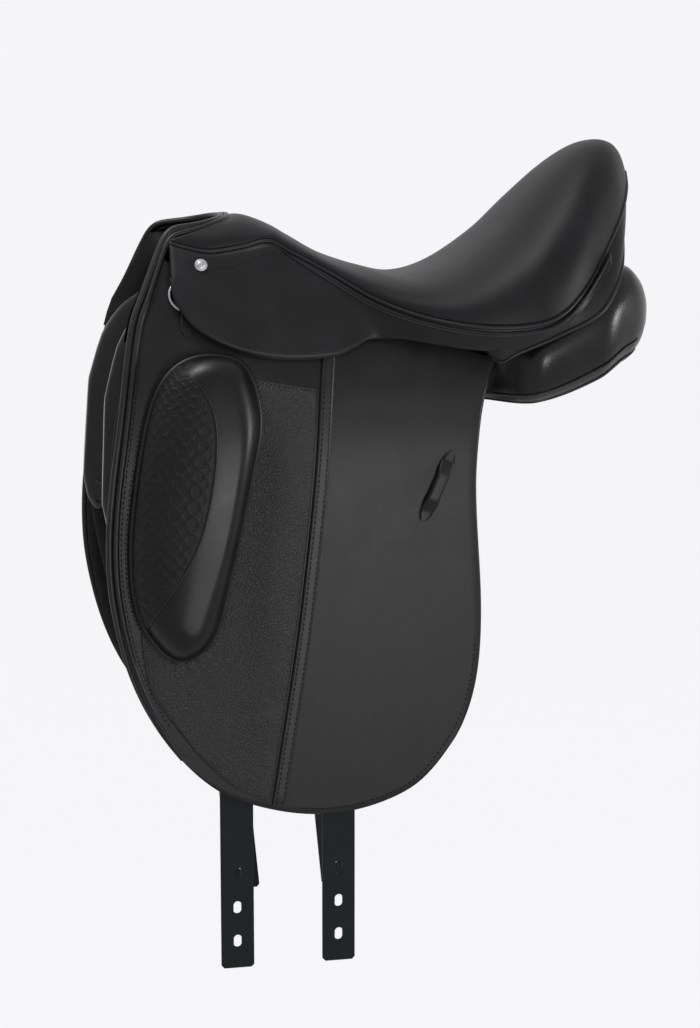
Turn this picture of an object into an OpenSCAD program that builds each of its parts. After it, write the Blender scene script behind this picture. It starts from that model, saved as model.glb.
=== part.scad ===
// Dressage saddle: tree, seat, panels, lifting flaps and skirts, billets, stirrup bars and dees.
// Millimetres. +X runs to the cantle, +Y to the off side, +Z up.
// The origin lies on the mid-plane in the gullet, where the saddle rests over the spine.

/* [Leather] */
// Thickness of the flaps
flap_t = 5; // [3.5:0.1:6.5]
// Thickness of the skirts
skirt_t = 4; // [2.5:0.1:5]
// Thickness of the sweat flaps
sweat_t = 4; // [2.5:0.1:5]
// Thickness of the billets and of the girth webs
billet_t = 4; // [2.5:0.1:5]
// Thickness of the cantle facing
facing_t = 3; // [2:0.1:4]
// Gap between stacked layers of leather
layer_gap = 0.8; // [0.5:0.1:1.2]
// Gap between pieces that seat on each other
seat_gap = 0.3; // [0.2:0.05:0.5]
// Gap along the skirt's fold
fold_gap = 1.2; // [1:0.1:2]

/* [Seat] */
// Thickness of the seat leather
cover_t = 2.5; // [1.5:0.1:3.5]
// Thickness of the seat foam
foam_t = 13; // [9:0.5:15]
// Thickness of the tree's laminated wood
tree_t = 8; // [6:0.5:10]
// Thickness of the head plate
head_plate_t = 3; // [2:0.5:4]
// Thickness of the seat webbing
web_t = 2; // [1:0.1:3]
// Radius of the welt round the seat
welt_r = 2; // [1.5:0.1:2.5]
// Radius of the rolled binding round the pommel
binding_r = 3.5; // [2.5:0.1:4]

/* [Flaps] */
// Depth of the flap's lowest point below the origin
flap_drop = 461; // [440:1:485]
// Thickness of the grained leather on the flap's front
grain_t = 2; // [1:0.1:3]
// Width of the welt strip down the flap
strip_w = 13; // [9:0.5:17]
// Width of the stirrup leather keeper
keeper_w = 13; // [10:0.5:18]
// Length of the keeper
keeper_l = 70; // [60:1:80]
// Thickness of the keeper's leather
keeper_t = 2.4; // [1.8:0.1:3]
// Height of the keeper's loop over the flap
keeper_rise = 5.5; // [5:0.1:8]
// Standoff of the skirt from the flap
skirt_lift = 4; // [3:0.1:5]
// Extra standoff of the skirt's front edge, over the dee
skirt_flare = 4.4; // [3.8:0.1:6]

/* [Blocks] */
// Height of the thigh block over the flap
block_rise = 40; // [30:1:46]
// Thickness of the inlay on the block's front
inlay_t = 1.5; // [1:0.1:2.5]

/* [Billets] */
// Width of a billet
billet_w = 32; // [26:1:36]
// Depth of the billets' ends below the origin
billet_drop = 612; // [560:1:640]
// Depth of the seam between web and billet below the origin
billet_seam = 160; // [150:1:175]
// Distance between the two billets of a side
billet_pitch = 100; // [90:1:110]
// Rearward lean at which the off side's billets rest
off_billet_lean = 5.5; // [0:0.5:7]
// Distance between girth holes
hole_pitch = 34; // [28:1:40]
// Half width of a girth hole
hole_r = 4; // [3:0.1:5]
// Length of a girth hole
hole_l = 13; // [11:0.5:16]

/* [Stirrup bars] */
// Radius of the bar
bar_r = 4.5; // [4:0.1:5]
// Length of the bar
bar_l = 64; // [56:1:70]
// Space for the stirrup leather behind the bar
leather_space = 7.5; // [6.5:0.1:9]
// Thickness of the bar's plate
plate_t = 3.5; // [2.5:0.1:4.5]
// Height of the bar's plate
plate_h = 26; // [22:1:30]
// Thickness of the catch
catch_t = 3; // [2.4:0.1:3.6]
// Length of the catch beyond its pin
catch_l = 20; // [14:1:24]
// Radius of the catch pin
pin_r = 1.5; // [1.2:0.1:1.8]
// Clearance round a pin and beside the catch
pin_play = 0.15; // [0.1:0.05:0.25]
// Radius of the rivets
rivet_r = 2.5; // [2:0.1:3]

/* [Dees and nails] */
// Radius of the dee's wire
wire_r = 1.5; // [1.2:0.1:1.7]
// Radius of the dee's bow
dee_r = 15; // [12:0.5:16]
// Wall of the dee's chape
chape_t = 1.2; // [0.8:0.1:1.4]
// Thickness of the safe under the dee
safe_t = 1; // [0.6:0.1:1.2]
// Radius of the nail heads
nail_r = 6; // [4.5:0.1:8]
// Height of the nail heads
nail_rise = 2.6; // [1.5:0.1:4]

/* [Hidden] */
$fn = 32;

// Half width of the flap's outer face at each height: [height, half width]
LAY = [[-640, 118], [-160, 118], [-110, 116.5], [-60, 110.5], [-20, 101], [20, 87], [60, 71], [110, 54]];
// Edge of the seat from the pommel's shoulder to the back of the cantle: [x, half width, z]
RIM = [[-249, 62, 90], [-215, 68, 82], [-180, 67, 86], [-155, 66, 91], [-135, 71, 81], [-100, 82, 62],
    [-58, 101, 37], [-15, 123, 21], [31, 141, 13], [79, 146, 13], [112, 140, 22], [143, 123, 48],
    [170, 97, 82], [192, 70, 112], [207, 40, 136], [214, 14, 152]];
// Middle line of the seat, one point for each point of the edge: [x, 0, z]
CREST = [[-184, 0, 110], [-172, 0, 111], [-158, 0, 107], [-143, 0, 100], [-127, 0, 90], [-98, 0, 74],
    [-58, 0, 60], [-15, 0, 53], [29, 0, 63], [76, 0, 95], [108, 0, 127], [140, 0, 157],
    [165, 0, 175], [184, 0, 181], [198, 0, 179], [208, 0, 172]];
// Front, lower and rear edges of the flap: [x, z]
FLAP_FRONT = [[-286, 16.4], [-300, -65], [-314, -170], [-312, 216 - flap_drop],
    [-290, 129 - flap_drop], [-250, 62 - flap_drop]];
FLAP_FOOT = [[-250, 62 - flap_drop], [-200, 21 - flap_drop], [-110, -flap_drop], [-28, 20.5 - flap_drop],
    [17, 71 - flap_drop]];
FLAP_REAR = [[39.5, -101], [37, -150], [43, -270], [36.5, 121 - flap_drop], [17, 71 - flap_drop]];
// Fold line of the flap, from its front edge to its rear edge: [x, z]
FLAP_FOLD = [FLAP_FRONT[0], FLAP_REAR[0]];
// Upper part of the flap, above the fold line: [x, z]
HEAD_FRONT = [[-258, 76], [-272, 46], FLAP_FOLD[0]];
HEAD_TOP = [[-258, 76], [-238, 62], [-217, 28], [-188, 5], [-125, 4], [-60, 4], [0, -6], [60, -23]];
HEAD_REAR = [[60, -23], [46.5, -60], FLAP_FOLD[1]];
// Fold line of the skirt and the lobe that hangs below it: [x, z]
SKIRT_FOLD = [[-248, 49], [-56, -2.2]];
SKIRT_FRONT = [[-248, 49], [-247, 36], [-244, 24]];
SKIRT_EDGE = [[-244, 24], [-228, 3], [-194, -14], [-148, -23], [-99, -21], [-79, -14], [-66, -5]];
SKIRT_REAR = [[-63, -0.3], [-66, -5]];
// Lower edge of the skirt behind the fold line: [x, half width, z]
STRIP_EDGE = [[-33, 112, -3], [-4, 124, -7], [35, 136, -12], [72, 141, -8], [100, 139, 2], [132, 128, 22]];
// Sweat flap under the billets: [x, z]
SWEAT_TOP = [[-291, 2], [-130, -36], [34, -80]];
SWEAT_FRONT = [[-291, 2], [-306, -65], [-312, -140], [-306, -215], [-282, -305], [-235, -378]];
SWEAT_FOOT = [[-235, -378], [-185, -418], [-95, -436], [-25, -418], [14, -374]];
SWEAT_REAR = [[34, -80], [26, -150], [32, -250], [30, -325], [14, -374]];
// Grained leather on the flap's front: [x, z]
GRAIN_TOP = [[-270, -28], [-190, -37], [-117.5, -48]];
GRAIN_FRONT = [[-270, -28], [-291, -70], [-305, -165], [-304, -240], [-279, 132 - flap_drop],
    [-236, 68 - flap_drop]];
GRAIN_FOOT = [[-236, 68 - flap_drop], [-204, 36 - flap_drop], [-166, 15 - flap_drop]];
GRAIN_REAR = [[-117.5, -48], [-124, -142], [-140, -281], [-166, 15 - flap_drop]];
// Front line of the welt strip down the flap: [x, z]
STRIP_LINE = [[-114, -54], [-122, -142], [-138, -281], [-164, 13 - flap_drop]];
// Foot of the thigh block, counted round from its top, and its ridge: [x, z]
BLOCK_FOOT = [[-218, -17], [-250, -27], [-272, -58], [-287, -120], [-295, -195], [-289, -255],
    [-264, -294], [-240, -297], [-217, -272], [-202, -215], [-183, -130], [-173, -72], [-186, -28]];
BLOCK_RIDGE = [[-212, -50], [-204, -95], [-210, -150], [-223, -205], [-243, -258]];
// Middle of the stirrup leather keeper and its lean from upright
KEEPER_AT = [-2, -143];
keeper_lean = 24;
// Panel sections: [x, half width, z, half length, half depth, slope, rake of the section]
PANEL = [[-316, 84, -104, 52, 6, 82, -0.06], [-306, 81, -92, 88, 12, 81, -0.09],
    [-288, 74, -82, 110, 17, 79, -0.12], [-256, 61, -56, 114, 16, 76, -0.14], [-215, 59, -40, 106, 15, 73, -0.14],
    [-150, 58, -30, 74, 16, 64, -0.05], [-70, 57, -26, 43, 19, 46, 0], [10, 57, -32, 34, 25, 26, 0],
    [54, 59, -33, 35, 31, 18, 0], [98, 81, -25, 50, 41, 13, 0], [160, 78, 0, 50, 49, 8, 0],
    [194, 68, 15, 41, 47, 4, 0], [210, 62, 16, 31, 34, 2, 0], [219, 58, 16, 17, 19, 2, 0]];
// Gullet lining: [x, z, half width]
LINING = [[-212, 66, 22], [-150, 50, 24], [-70, 27, 26], [20, 17, 28], [100, 26, 31], [160, 41, 27], [196, 56, 22]];
// Places along the seat, from 0 at the pommel to 1 at the cantle, where the parts of the tree end
head_end = 0.2;
cantle_start = 0.66;
cantle_end = 0.97;
head_gap = 0.036;
cantle_gap = 0.008;
// Shares of the seat's half width where the rails run
rail_in = 0.3;
rail_out = 0.72;
// Places along the seat of the webs that cross it
WEBS = [[0.22, 0.3], [0.36, 0.44], [0.5, 0.58]];
// Layers below the flap's outer face, counted inwards
billet_out = -flap_t - layer_gap;
billet_in = billet_out - billet_t;
sweat_out = billet_in - layer_gap;
sweat_in = sweat_out - sweat_t;
// Stirrup bar: its middle, and its layers counted from the flap's face
BAR_AT = [-158, 31];
bar_mid = skirt_lift - bar_r - 3;
plate_out = bar_mid - bar_r - leather_space;
plate_in = plate_out - plate_t;
point_out = plate_in - seat_gap;
point_in = point_out - tree_t;
plate_l = bar_l + 12;
post_l = 12;
rivet_head = 1.2;
// Layers below the seat's upper face
foam_out = -cover_t - layer_gap;
foam_in = foam_out - foam_t;
tree_out = foam_in - web_t - 3 * layer_gap;
tree_in = tree_out - tree_t;
// Dee: the middle of its straight side, and its layer
DEE_AT = [-236.5, 38.5];
chape_r = wire_r + pin_play + chape_t;
dee_mid = chape_r + seat_gap;
chape_w = 13;
chape_l = 22;
safe_l = 31;
// Nail at the pommel, and how far the skirt's band draws in there
NAIL_AT = [-221, 64];
nail_dip = 1.9;
// Billets
BILLET_X = [-197, -197 + billet_pitch];
web_top = -30;
girth_holes = 3;
hole_margin = 27;

// Smooth step from 0 to 1
function clamp01(s) = min(max(s, 0), 1);
function smooth(s) = let (c = clamp01(s)) c * c * (3 - 2 * c);
function unit(v) = v / norm(v);
// Interval of a rising list of keys that holds u
function interval(keys, u, i = 0) = (i >= len(keys) - 2 || u <= keys[i + 1]) ? i : interval(keys, u, i + 1);
function hermite(a, b, m, n, s) = a * (2 * s * s * s - 3 * s * s + 1) + m * (s * s * s - 2 * s * s + s)
    + b * (3 * s * s - 2 * s * s * s) + n * (s * s * s - s * s);
// Smooth value from a table of [key, value] that never overshoots its points
function secant(T, i) = (T[i + 1][1] - T[i][1]) / (T[i + 1][0] - T[i][0]);
function slope(T, i) = i == 0 ? secant(T, 0) : i == len(T) - 1 ? secant(T, i - 1)
    : let (a = secant(T, i - 1), b = secant(T, i)) a * b <= 0 ? 0 : 2 * a * b / (a + b);
function value(T, u) = let (i = interval([for (r = T) r[0]], u), h = T[i + 1][0] - T[i][0],
    s = clamp01((u - T[i][0]) / h)) hermite(T[i][1], T[i + 1][1], slope(T, i) * h, slope(T, i + 1) * h, s);
// Point on a smooth curve through a list of points, with u from 0 to 1 along its length
function runs(P) = [for (i = 0, d = 0; i < len(P); d = d + (i < len(P) - 1 ? norm(P[i + 1] - P[i]) : 0),
    i = i + 1) d];
function tangent(P, L, i) = let (a = max(i - 1, 0), b = min(i + 1, len(P) - 1)) (P[b] - P[a]) / (L[b] - L[a]);
function along(P, u) = let (L = runs(P), d = clamp01(u) * L[len(P) - 1], i = interval(L, d), h = L[i + 1] - L[i])
    hermite(P[i], P[i + 1], tangent(P, L, i) * h, tangent(P, L, i + 1) * h, (d - L[i]) / h);
// The same with one step of u for each pair of points, so that two lists stay in step
function paced(P, u) = let (f = clamp01(u) * (len(P) - 1), i = min(floor(f), len(P) - 2), s = f - i,
    a = P[max(i - 1, 0)], d = P[min(i + 2, len(P) - 1)])
    hermite(P[i], P[i + 1], (P[i + 1] - a) / 2, (d - P[i]) / 2, s);
// Closed smooth curve through a list of points
function round_curve(P, u) = let (n = len(P), f = u * n, i = floor(f) % n, s = f - floor(f),
    a = P[(i + n - 1) % n], b = P[i], c = P[(i + 1) % n], d = P[(i + 2) % n])
    hermite(b, c, (c - a) / 2, (d - b) / 2, s);
// Grid of points between four edge curves: rows run down, columns run to the rear
function patch(top, foot, front, rear, nu, nv) = let (last = len(front) - 1, end = len(rear) - 1)
    [for (j = [0 : nv]) let (v = j / nv, a = along(front, v), b = along(rear, v))
        [for (i = [0 : nu]) let (u = i / nu, c = along(top, u), d = along(foot, u))
            (1 - v) * c + v * d + (1 - u) * a + u * b - (1 - u) * (1 - v) * front[0] - u * (1 - v) * rear[0]
            - (1 - u) * v * front[last] - u * v * rear[end]]];
// Grid moved along its own normals
function step_row(G, j, i) = G[min(j + 1, len(G) - 1)][i] - G[max(j - 1, 0)][i];
function step_col(G, j, i) = G[j][min(i + 1, len(G[0]) - 1)] - G[j][max(i - 1, 0)];
function raised(G, d) = [for (j = [0 : len(G) - 1]) [for (i = [0 : len(G[0]) - 1])
    G[j][i] + d * unit(cross(step_row(G, j, i), step_col(G, j, i)))]];

// Half width of the flap's face at height z, and points on layers that follow it
function lay(z) = value(LAY, z);
function lay_slope(z) = lay(z + 0.5) - lay(z - 0.5);
function on_lay(p, d) = let (m = lay_slope(p[1]), c = 1 / sqrt(1 + m * m))
    [p[0], -lay(p[1]) - d * c, p[1] - d * m * c];
function lay_grid(G, d) = [for (row = G) [for (p = row) on_lay(p, d)]];
// Standoff of the skirt at place x, and points on its inner face
function standoff(x) = skirt_lift + skirt_flare * smooth((-185 - x) / 60);
function on_skirt(p, d) = on_lay(p, standoff(p[0]) + d);
function skirt_grid(G, d) = [for (row = G) [for (p = row) on_skirt(p, d)]];
function fold_z(x) = let (a = SKIRT_FOLD[0], b = SKIRT_FOLD[1]) a[1] + (x - a[0]) * (b[1] - a[1]) / (b[0] - a[0]);
// Point on the seat: t from pommel to cantle, s from -1 on the near edge to 1 on the off edge
function seat_point(t, s) = let (e = paced(RIM, t), c = paced(CREST, t), a = min(abs(s), 1),
    rise = pow(max(cos(90 * a), 0), 0.8), side = pow(sin(90 * a), 0.85))
    [e[0] + (c[0] - e[0]) * rise, sign(s) * e[1] * side, e[2] + (c[2] - e[2]) * rise];
function seat_grid(t0, t1, s0, s1, nt, ns) = [for (j = [0 : ns]) [for (i = [0 : nt])
    seat_point(t0 + (t1 - t0) * i / nt, s1 + (s0 - s1) * j / ns)]];
// Edge of the seat on the near side, dropped by d
function rim_point(t, d) = let (e = paced(RIM, t)) [e[0], -e[1], e[2] - d];
function mirrored(P) = [for (p = P) [p[0], -p[1], p[2]]];
function reversed(P) = [for (i = [len(P) - 1 : -1 : 0]) P[i]];

// Solid between an outer and an inner grid of points
module slab(outer, inner) {
    n = len(outer);
    m = len(outer[0]);
    k = n * m;
    skin = [for (j = [0 : n - 2]) for (i = [0 : m - 2]) let (a = j * m + i) [a, a + 1, a + m + 1, a + m]];
    front = [for (q = skin) each [[q[0], q[1], q[2]], [q[0], q[2], q[3]]]];
    back = [for (f = front) [f[0] + k, f[2] + k, f[1] + k]];
    rim = concat([for (i = [0 : m - 2]) [i + 1, i]],
        [for (i = [0 : m - 2]) [k - m + i, k - m + i + 1]],
        [for (j = [0 : n - 2]) [j * m, (j + 1) * m]],
        [for (j = [0 : n - 2]) [(j + 2) * m - 1, (j + 1) * m - 1]]);
    walls = [for (e = rim) each [[e[0], e[1], e[1] + k], [e[0], e[1] + k, e[0] + k]]];
    polyhedron(concat([for (r = outer) each r], [for (r = inner) each r]), concat(front, back, walls), convexity = 8);
}
// Solid through a list of closed rings of an even count, laced across at each end
module loft(rings) {
    n = len(rings);
    m = len(rings[0]);
    sides = [for (j = [0 : n - 2]) for (i = [0 : m - 1]) let (a = j * m + i, b = j * m + (i + 1) % m)
        each [[a, b, b + m], [a, b + m, a + m]]];
    lid = [for (i = [0 : m / 2 - 1]) each [[i, i + 1, m - i - 1], [i, m - i - 1, (m - i) % m]]];
    cap = [for (f = lid) if (f[0] != f[2] && f[1] != f[2]) f];
    first = [for (f = cap) [f[0], f[2], f[1]]];
    last = [for (f = cap) f + (n - 1) * m * [1, 1, 1]];
    polyhedron([for (r = rings) each r], concat(sides, first, last), convexity = 8);
}
// Round roll of radius r along a list of points
module roll(path, r, sides) {
    n = len(path);
    loft([for (i = [0 : n - 1]) let (d = unit(path[min(i + 1, n - 1)] - path[max(i - 1, 0)]),
        right = unit(cross(d, [0, 0, 1])), up = cross(right, d))
        [for (k = [0 : sides - 1]) path[i] + r * (cos(360 * k / sides) * right + sin(360 * k / sides) * up)]]);
}
module lay_sheet(G, outer, inner) slab(lay_grid(G, outer), lay_grid(G, inner));
module seat_layer(t0, t1, s0, s1, nt, ns, outer, inner) {
    G = seat_grid(t0, t1, s0, s1, nt, ns);
    slab(raised(G, outer), raised(G, inner));
}
module off() mirror([0, 1, 0]) children();
// Frame of a flat fitting on the flap's face: x to the rear, y inwards, z up the face
module on_face(p, d) {
    at = on_lay(p, d);
    translate(at) rotate([atan(lay_slope(p[1])), 0, 0]) children();
}

module tree_head() color("burlywood") seat_layer(0.02, head_end, -0.8, 0.8, 6, 14, tree_out, tree_in);
module tree_rail() seat_layer(head_end + head_gap, cantle_start - cantle_gap, -rail_out, -rail_in, 14, 4,
    tree_out, tree_in);
module near_tree_rail() color("burlywood") tree_rail();
module off_tree_rail() color("burlywood") off() tree_rail();
module tree_cantle() color("burlywood") seat_layer(cantle_start, cantle_end, -0.72, 0.72, 9, 14, tree_out, tree_in);
module tree_point() {
    G = patch([[-243, 62], [-206, 60], [-118, 48]], [[-250, -2], [-206, -4], [-122, 12]],
        [[-243, 62], [-250, -2]], [[-118, 48], [-122, 12]], 8, 5);
    lay_sheet(G, point_out, point_in);
}
module near_tree_point() color("burlywood") tree_point();
module off_tree_point() color("burlywood") off() tree_point();
module head_plate() color("dimgray")
    seat_layer(0.04, 0.13, -0.62, 0.62, 4, 12, tree_in - layer_gap, tree_in - layer_gap - head_plate_t);
module spring_steel() seat_layer(head_end + 0.02, cantle_start - 0.02, -0.58, -0.48, 12, 1,
    tree_in - layer_gap, tree_in - layer_gap - web_t);
module spring_steels() color("dimgray") {
    spring_steel();
    off() spring_steel();
}
module seat_webbing() color("wheat")
    for (w = WEBS) seat_layer(w[0], w[1], -rail_out, rail_out, 3, 12, foam_in - 2 * layer_gap, foam_in - 2 * layer_gap - web_t);
module seat_foam() color("khaki") seat_layer(0.01, 0.985, -0.95, 0.95, 25, 12, foam_out, foam_in);
module seat_cover() color([0.11, 0.11, 0.12]) seat_layer(0, 1, -1, 1, 27, 18, 0, -cover_t);

// Welt along the edge of the seat, from the near shoulder round the cantle to the off shoulder
module seat_welt() color([0.06, 0.06, 0.06]) {
    drop = welt_r + layer_gap;
    near = [for (i = [0 : 32]) rim_point(i / 32, drop)];
    roll(concat(near, reversed(mirrored(near))), welt_r, 6);
}
// Rolled binding up the front edge of the near flap, over the pommel and down the off side
module pommel_binding() color([0.05, 0.05, 0.05]) {
    ahead = binding_r + layer_gap;
    leg = [for (i = [0 : 5]) on_lay(along(reversed(HEAD_FRONT), i / 5) + [-ahead, 0], -flap_t / 2)];
    arch = [for (i = [0 : 12]) let (s = -1 + i / 12, p = seat_point(0, s),
        edge = unit(seat_point(0, s + 0.04) - seat_point(0, s - 0.04)), d = p - seat_point(0.03, s))
        p + (ahead + seat_gap) * unit(d - edge * (d * edge)) - [0, 0, cover_t / 2]];
    half = concat(leg, arch);
    roll(concat(half, reversed(mirrored([for (i = [0 : len(half) - 2]) half[i]]))), binding_r, 8);
}
// Leather down the back of the cantle, from the welt to the panels
module cantle_facing() color([0.08, 0.08, 0.08]) {
    drop = 2 * welt_r + 2 * layer_gap;
    top = [for (i = [0 : 8]) rim_point(0.75 + 0.25 * i / 8, drop)];
    foot = [[140, -133, 19], [160, -124, 34], [177, -107, 52], [191, -80, 70], [201, -48, 84], [205, -18, 91]];
    half = [for (i = [0 : 8]) let (b = along(foot, i / 8)) [top[i], (top[i] + b) / 2 + [2, -1, 0], b]];
    ring = concat(half, [for (h = reversed(half)) mirrored(h)]);
    G = [for (j = [0 : 2]) [for (h = ring) h[j]]];
    slab(G, raised(G, -facing_t));
}

// Fixed upper part of the skirt: from the welt down to the fold, and the strip behind it
module skirt_band() {
    drop = 2 * welt_r + 2 * layer_gap;
    fold = [for (i = [0 : 6]) let (x = SKIRT_FOLD[0][0] + (SKIRT_FOLD[1][0] - SKIRT_FOLD[0][0]) * i / 6)
        on_skirt([x, fold_z(x) + fold_gap], 0)];
    edge = concat(fold, [for (p = STRIP_EDGE) [p[0], -p[1], p[2]]]);
    n = 30;
    G = [for (v = [0, 0.5, 1]) [for (i = [0 : n])
        rim_point(0.715 * i / n, drop) * (1 - v) + along(edge, i / n) * v]];
    slab(raised(G, skirt_t), G);
}
module near_skirt_band() color([0.1, 0.1, 0.1]) skirt_band();
module off_skirt_band() color([0.1, 0.1, 0.1]) off() skirt_band();
// Lobe of the skirt that lifts to show the stirrup bar
module skirt() {
    G = patch([SKIRT_FOLD[0], SKIRT_REAR[0]], SKIRT_EDGE, SKIRT_FRONT, SKIRT_REAR, 16, 4);
    slab(skirt_grid(G, skirt_t), skirt_grid(G, 0));
}
module near_skirt() color([0.11, 0.11, 0.11]) skirt();
module off_skirt() color([0.11, 0.11, 0.11]) off() skirt();

// Domed head of a nail
module nail_head() rotate([90, 0, 0]) rotate_extrude()
    polygon(concat([[0, 0]], [for (i = [0 : 8]) [nail_r * cos(90 * i / 8), nail_rise * sin(90 * i / 8)]]));
module head_nail() on_face(NAIL_AT, standoff(NAIL_AT[0]) + skirt_t - nail_dip + seat_gap) nail_head();
module head_nails() color("silver") {
    head_nail();
    off() head_nail();
}

// Dee: a straight side that turns in the chape, and a round bow to the front
module dee() on_face(DEE_AT, dee_mid) {
    cylinder(r = wire_r, h = 2 * dee_r, center = true);
    rotate([90, 0, 0]) rotate([0, 0, 90]) rotate_extrude(angle = 180) translate([dee_r, 0]) circle(r = wire_r);
    for (side = [-1, 1]) translate([0, 0, side * dee_r]) sphere(r = wire_r);
}
module near_dee() color("silver") dee();
module off_dee() color("silver") off() dee();
// Chape: a leather loop round the dee's straight side, on a safe that hangs below the skirt's edge
module dee_chape() on_face(DEE_AT, dee_mid) difference() {
    union() {
        cylinder(r = chape_r, h = chape_w, center = true);
        translate([0, 0, -chape_w / 2]) cube([chape_l, chape_r, chape_w]);
        translate([0, chape_r, 0]) rotate([90, 0, 0]) linear_extrude(safe_t) {
            translate([-chape_w / 2, -safe_l]) square([chape_w, safe_l + chape_w / 2]);
            translate([0, -safe_l]) circle(d = chape_w);
        }
    }
    cylinder(r = wire_r + pin_play, h = chape_w + 1, center = true);
}
module near_dee_chape() color([0.1, 0.1, 0.1]) dee_chape();
module off_dee_chape() color([0.1, 0.1, 0.1]) off() dee_chape();

// Stirrup bar: a plate on the tree point, a post at the front and a bar that is open to the rear
module stirrup_bar() {
    slot = catch_t + 2 * pin_play;
    on_face(BAR_AT, 0) difference() {
        union() {
            translate([-plate_l / 2, -plate_out, -plate_h / 2]) cube([plate_l, plate_t, plate_h]);
            translate([-plate_l / 2, -bar_mid, -bar_r]) cube([post_l, bar_mid - plate_out, 2 * bar_r]);
            translate([-plate_l / 2, -bar_mid, 0]) rotate([0, 90, 0]) cylinder(r = bar_r, h = bar_l);
        }
        translate([bar_l - plate_l / 2 - 12, -bar_mid - slot / 2, -bar_r - 1]) cube([13, slot, 2 * bar_r + 2]);
        translate([bar_l - plate_l / 2 - 6, -bar_mid, 0]) rotate([90, 0, 0])
            cylinder(r = pin_r, h = 2 * bar_r + 2, center = true);
        for (x = [-1, 1]) for (z = [-1, 1])
            translate([x * (plate_l / 2 - 7), -plate_out, z * (plate_h / 2 - 5)]) rotate([90, 0, 0])
                cylinder(r = rivet_r, h = 3 * plate_t, center = true);
    }
}
module near_stirrup_bar() color("dimgray") stirrup_bar();
module off_stirrup_bar() color("dimgray") off() stirrup_bar();
// Rivets through the plate's four holes
module bar_rivets() on_face(BAR_AT, 0) for (x = [-1, 1]) for (z = [-1, 1])
    translate([x * (plate_l / 2 - 7), -plate_out, z * (plate_h / 2 - 5)]) rotate([90, 0, 0]) {
        translate([0, 0, -plate_t]) cylinder(r = rivet_r - pin_play, h = plate_t);
        cylinder(r = rivet_r + 1, h = rivet_head);
    }
module stirrup_bar_rivets() color("silver") {
    bar_rivets();
    off() bar_rivets();
}
// Catch at the end of the bar, and the pin that it turns on
module bar_catch() on_face(BAR_AT, 0) translate([bar_l - plate_l / 2 - 6, -bar_mid, 0]) rotate([90, 0, 0])
    difference() {
        union() {
            cylinder(r = bar_r - 0.5, h = catch_t, center = true);
            translate([0, -bar_r + 1.5, -catch_t / 2]) cube([catch_l, 2 * bar_r - 3, catch_t]);
            translate([catch_l, 0, 0]) cylinder(r = bar_r - 1.5, h = catch_t, center = true);
        }
        cylinder(r = pin_r + pin_play, h = catch_t + 1, center = true);
    }
module near_bar_catch() color("silver") bar_catch();
module off_bar_catch() color("silver") off() bar_catch();
module catch_pin() on_face(BAR_AT, 0) translate([bar_l - plate_l / 2 - 6, -bar_mid, 0]) rotate([90, 0, 0])
    cylinder(r = pin_r, h = 2 * bar_r - 1, center = true);
module catch_pins() color("silver") {
    catch_pin();
    off() catch_pin();
}

// Webs that carry the billets, from under the stirrup bar to the billets' seams
module girth_webs() for (x = BILLET_X) {
    half = billet_w / 2;
    foot = -billet_seam + billet_w / 2 + seat_gap;
    G = [for (j = [0 : 6]) [for (i = [-1, 0, 1]) [x + i * half, web_top + (foot - web_top) * j / 6]]];
    lay_sheet(G, billet_out, billet_in);
}
module near_girth_webs() color("wheat") girth_webs();
module off_girth_webs() color("wheat") off() girth_webs();
// Billet strap with a rounded upper end, a trimmed lower end and a row of oval holes
module billet(x) {
    face = lay(-billet_drop) + billet_out;
    translate([x, -face, 0]) rotate([-90, 0, 0]) linear_extrude(billet_t) difference() {
        union() {
            translate([0, billet_seam]) circle(r = billet_w / 2);
            translate([-billet_w / 2, billet_seam]) square([billet_w, billet_drop - billet_seam - 4]);
            polygon([[-billet_w / 2, billet_drop - 5], [billet_w / 2, billet_drop - 5],
                [billet_w / 2 - 5, billet_drop], [5 - billet_w / 2, billet_drop]]);
        }
        for (i = [0 : girth_holes - 1]) translate([0, billet_drop - hole_margin - i * hole_pitch]) {
            square([2 * hole_r, hole_l - 2 * hole_r], center = true);
            for (end = [-1, 1]) translate([0, end * (hole_l / 2 - hole_r)]) circle(r = hole_r);
        }
    }
}
module near_front_billet() color([0.11, 0.13, 0.12]) billet(BILLET_X[0]);
module near_rear_billet() color([0.11, 0.13, 0.12]) billet(BILLET_X[1]);
module leaning_billet(x) translate([x, 0, -billet_seam]) rotate([0, -off_billet_lean, 0])
    translate([-x, 0, billet_seam]) off() billet(x);
module off_front_billet() color([0.11, 0.13, 0.12]) leaning_billet(BILLET_X[0]);
module off_rear_billet() color([0.11, 0.13, 0.12]) leaning_billet(BILLET_X[1]);

// Stuffed panel: rounded sections from the front edge beside the withers to the full rear gusset
function panel_value(k, x) = value([for (p = PANEL) [p[0], p[k]]], x);
function panel_ring(x, m) = let (c = [panel_value(1, x), panel_value(2, x)], l = panel_value(3, x),
    d = panel_value(4, x), a = panel_value(5, x), rake = panel_value(6, x))
    [for (k = [0 : m - 1]) let (q = 360 * k / m, p = l * sign(cos(q)) * pow(abs(cos(q)), 0.8),
        h = d * sign(sin(q)) * pow(abs(sin(q)), 0.8), w = c[0] + p * cos(a) + h * sin(a),
        z = c[1] - p * sin(a) + h * cos(a)) [x - rake * (z - c[1]), -w, z]];
module panel() {
    stations = 26;
    from = PANEL[0][0];
    to = PANEL[len(PANEL) - 1][0];
    loft([for (i = [0 : stations]) let (u = i / stations)
        panel_ring(from + (to - from) * (0.4 * u + 0.6 * smooth(u)), 24)]);
}
module near_panel() color([0.1, 0.1, 0.1]) panel();
module off_panel() color([0.1, 0.1, 0.1]) off() panel();
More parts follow.
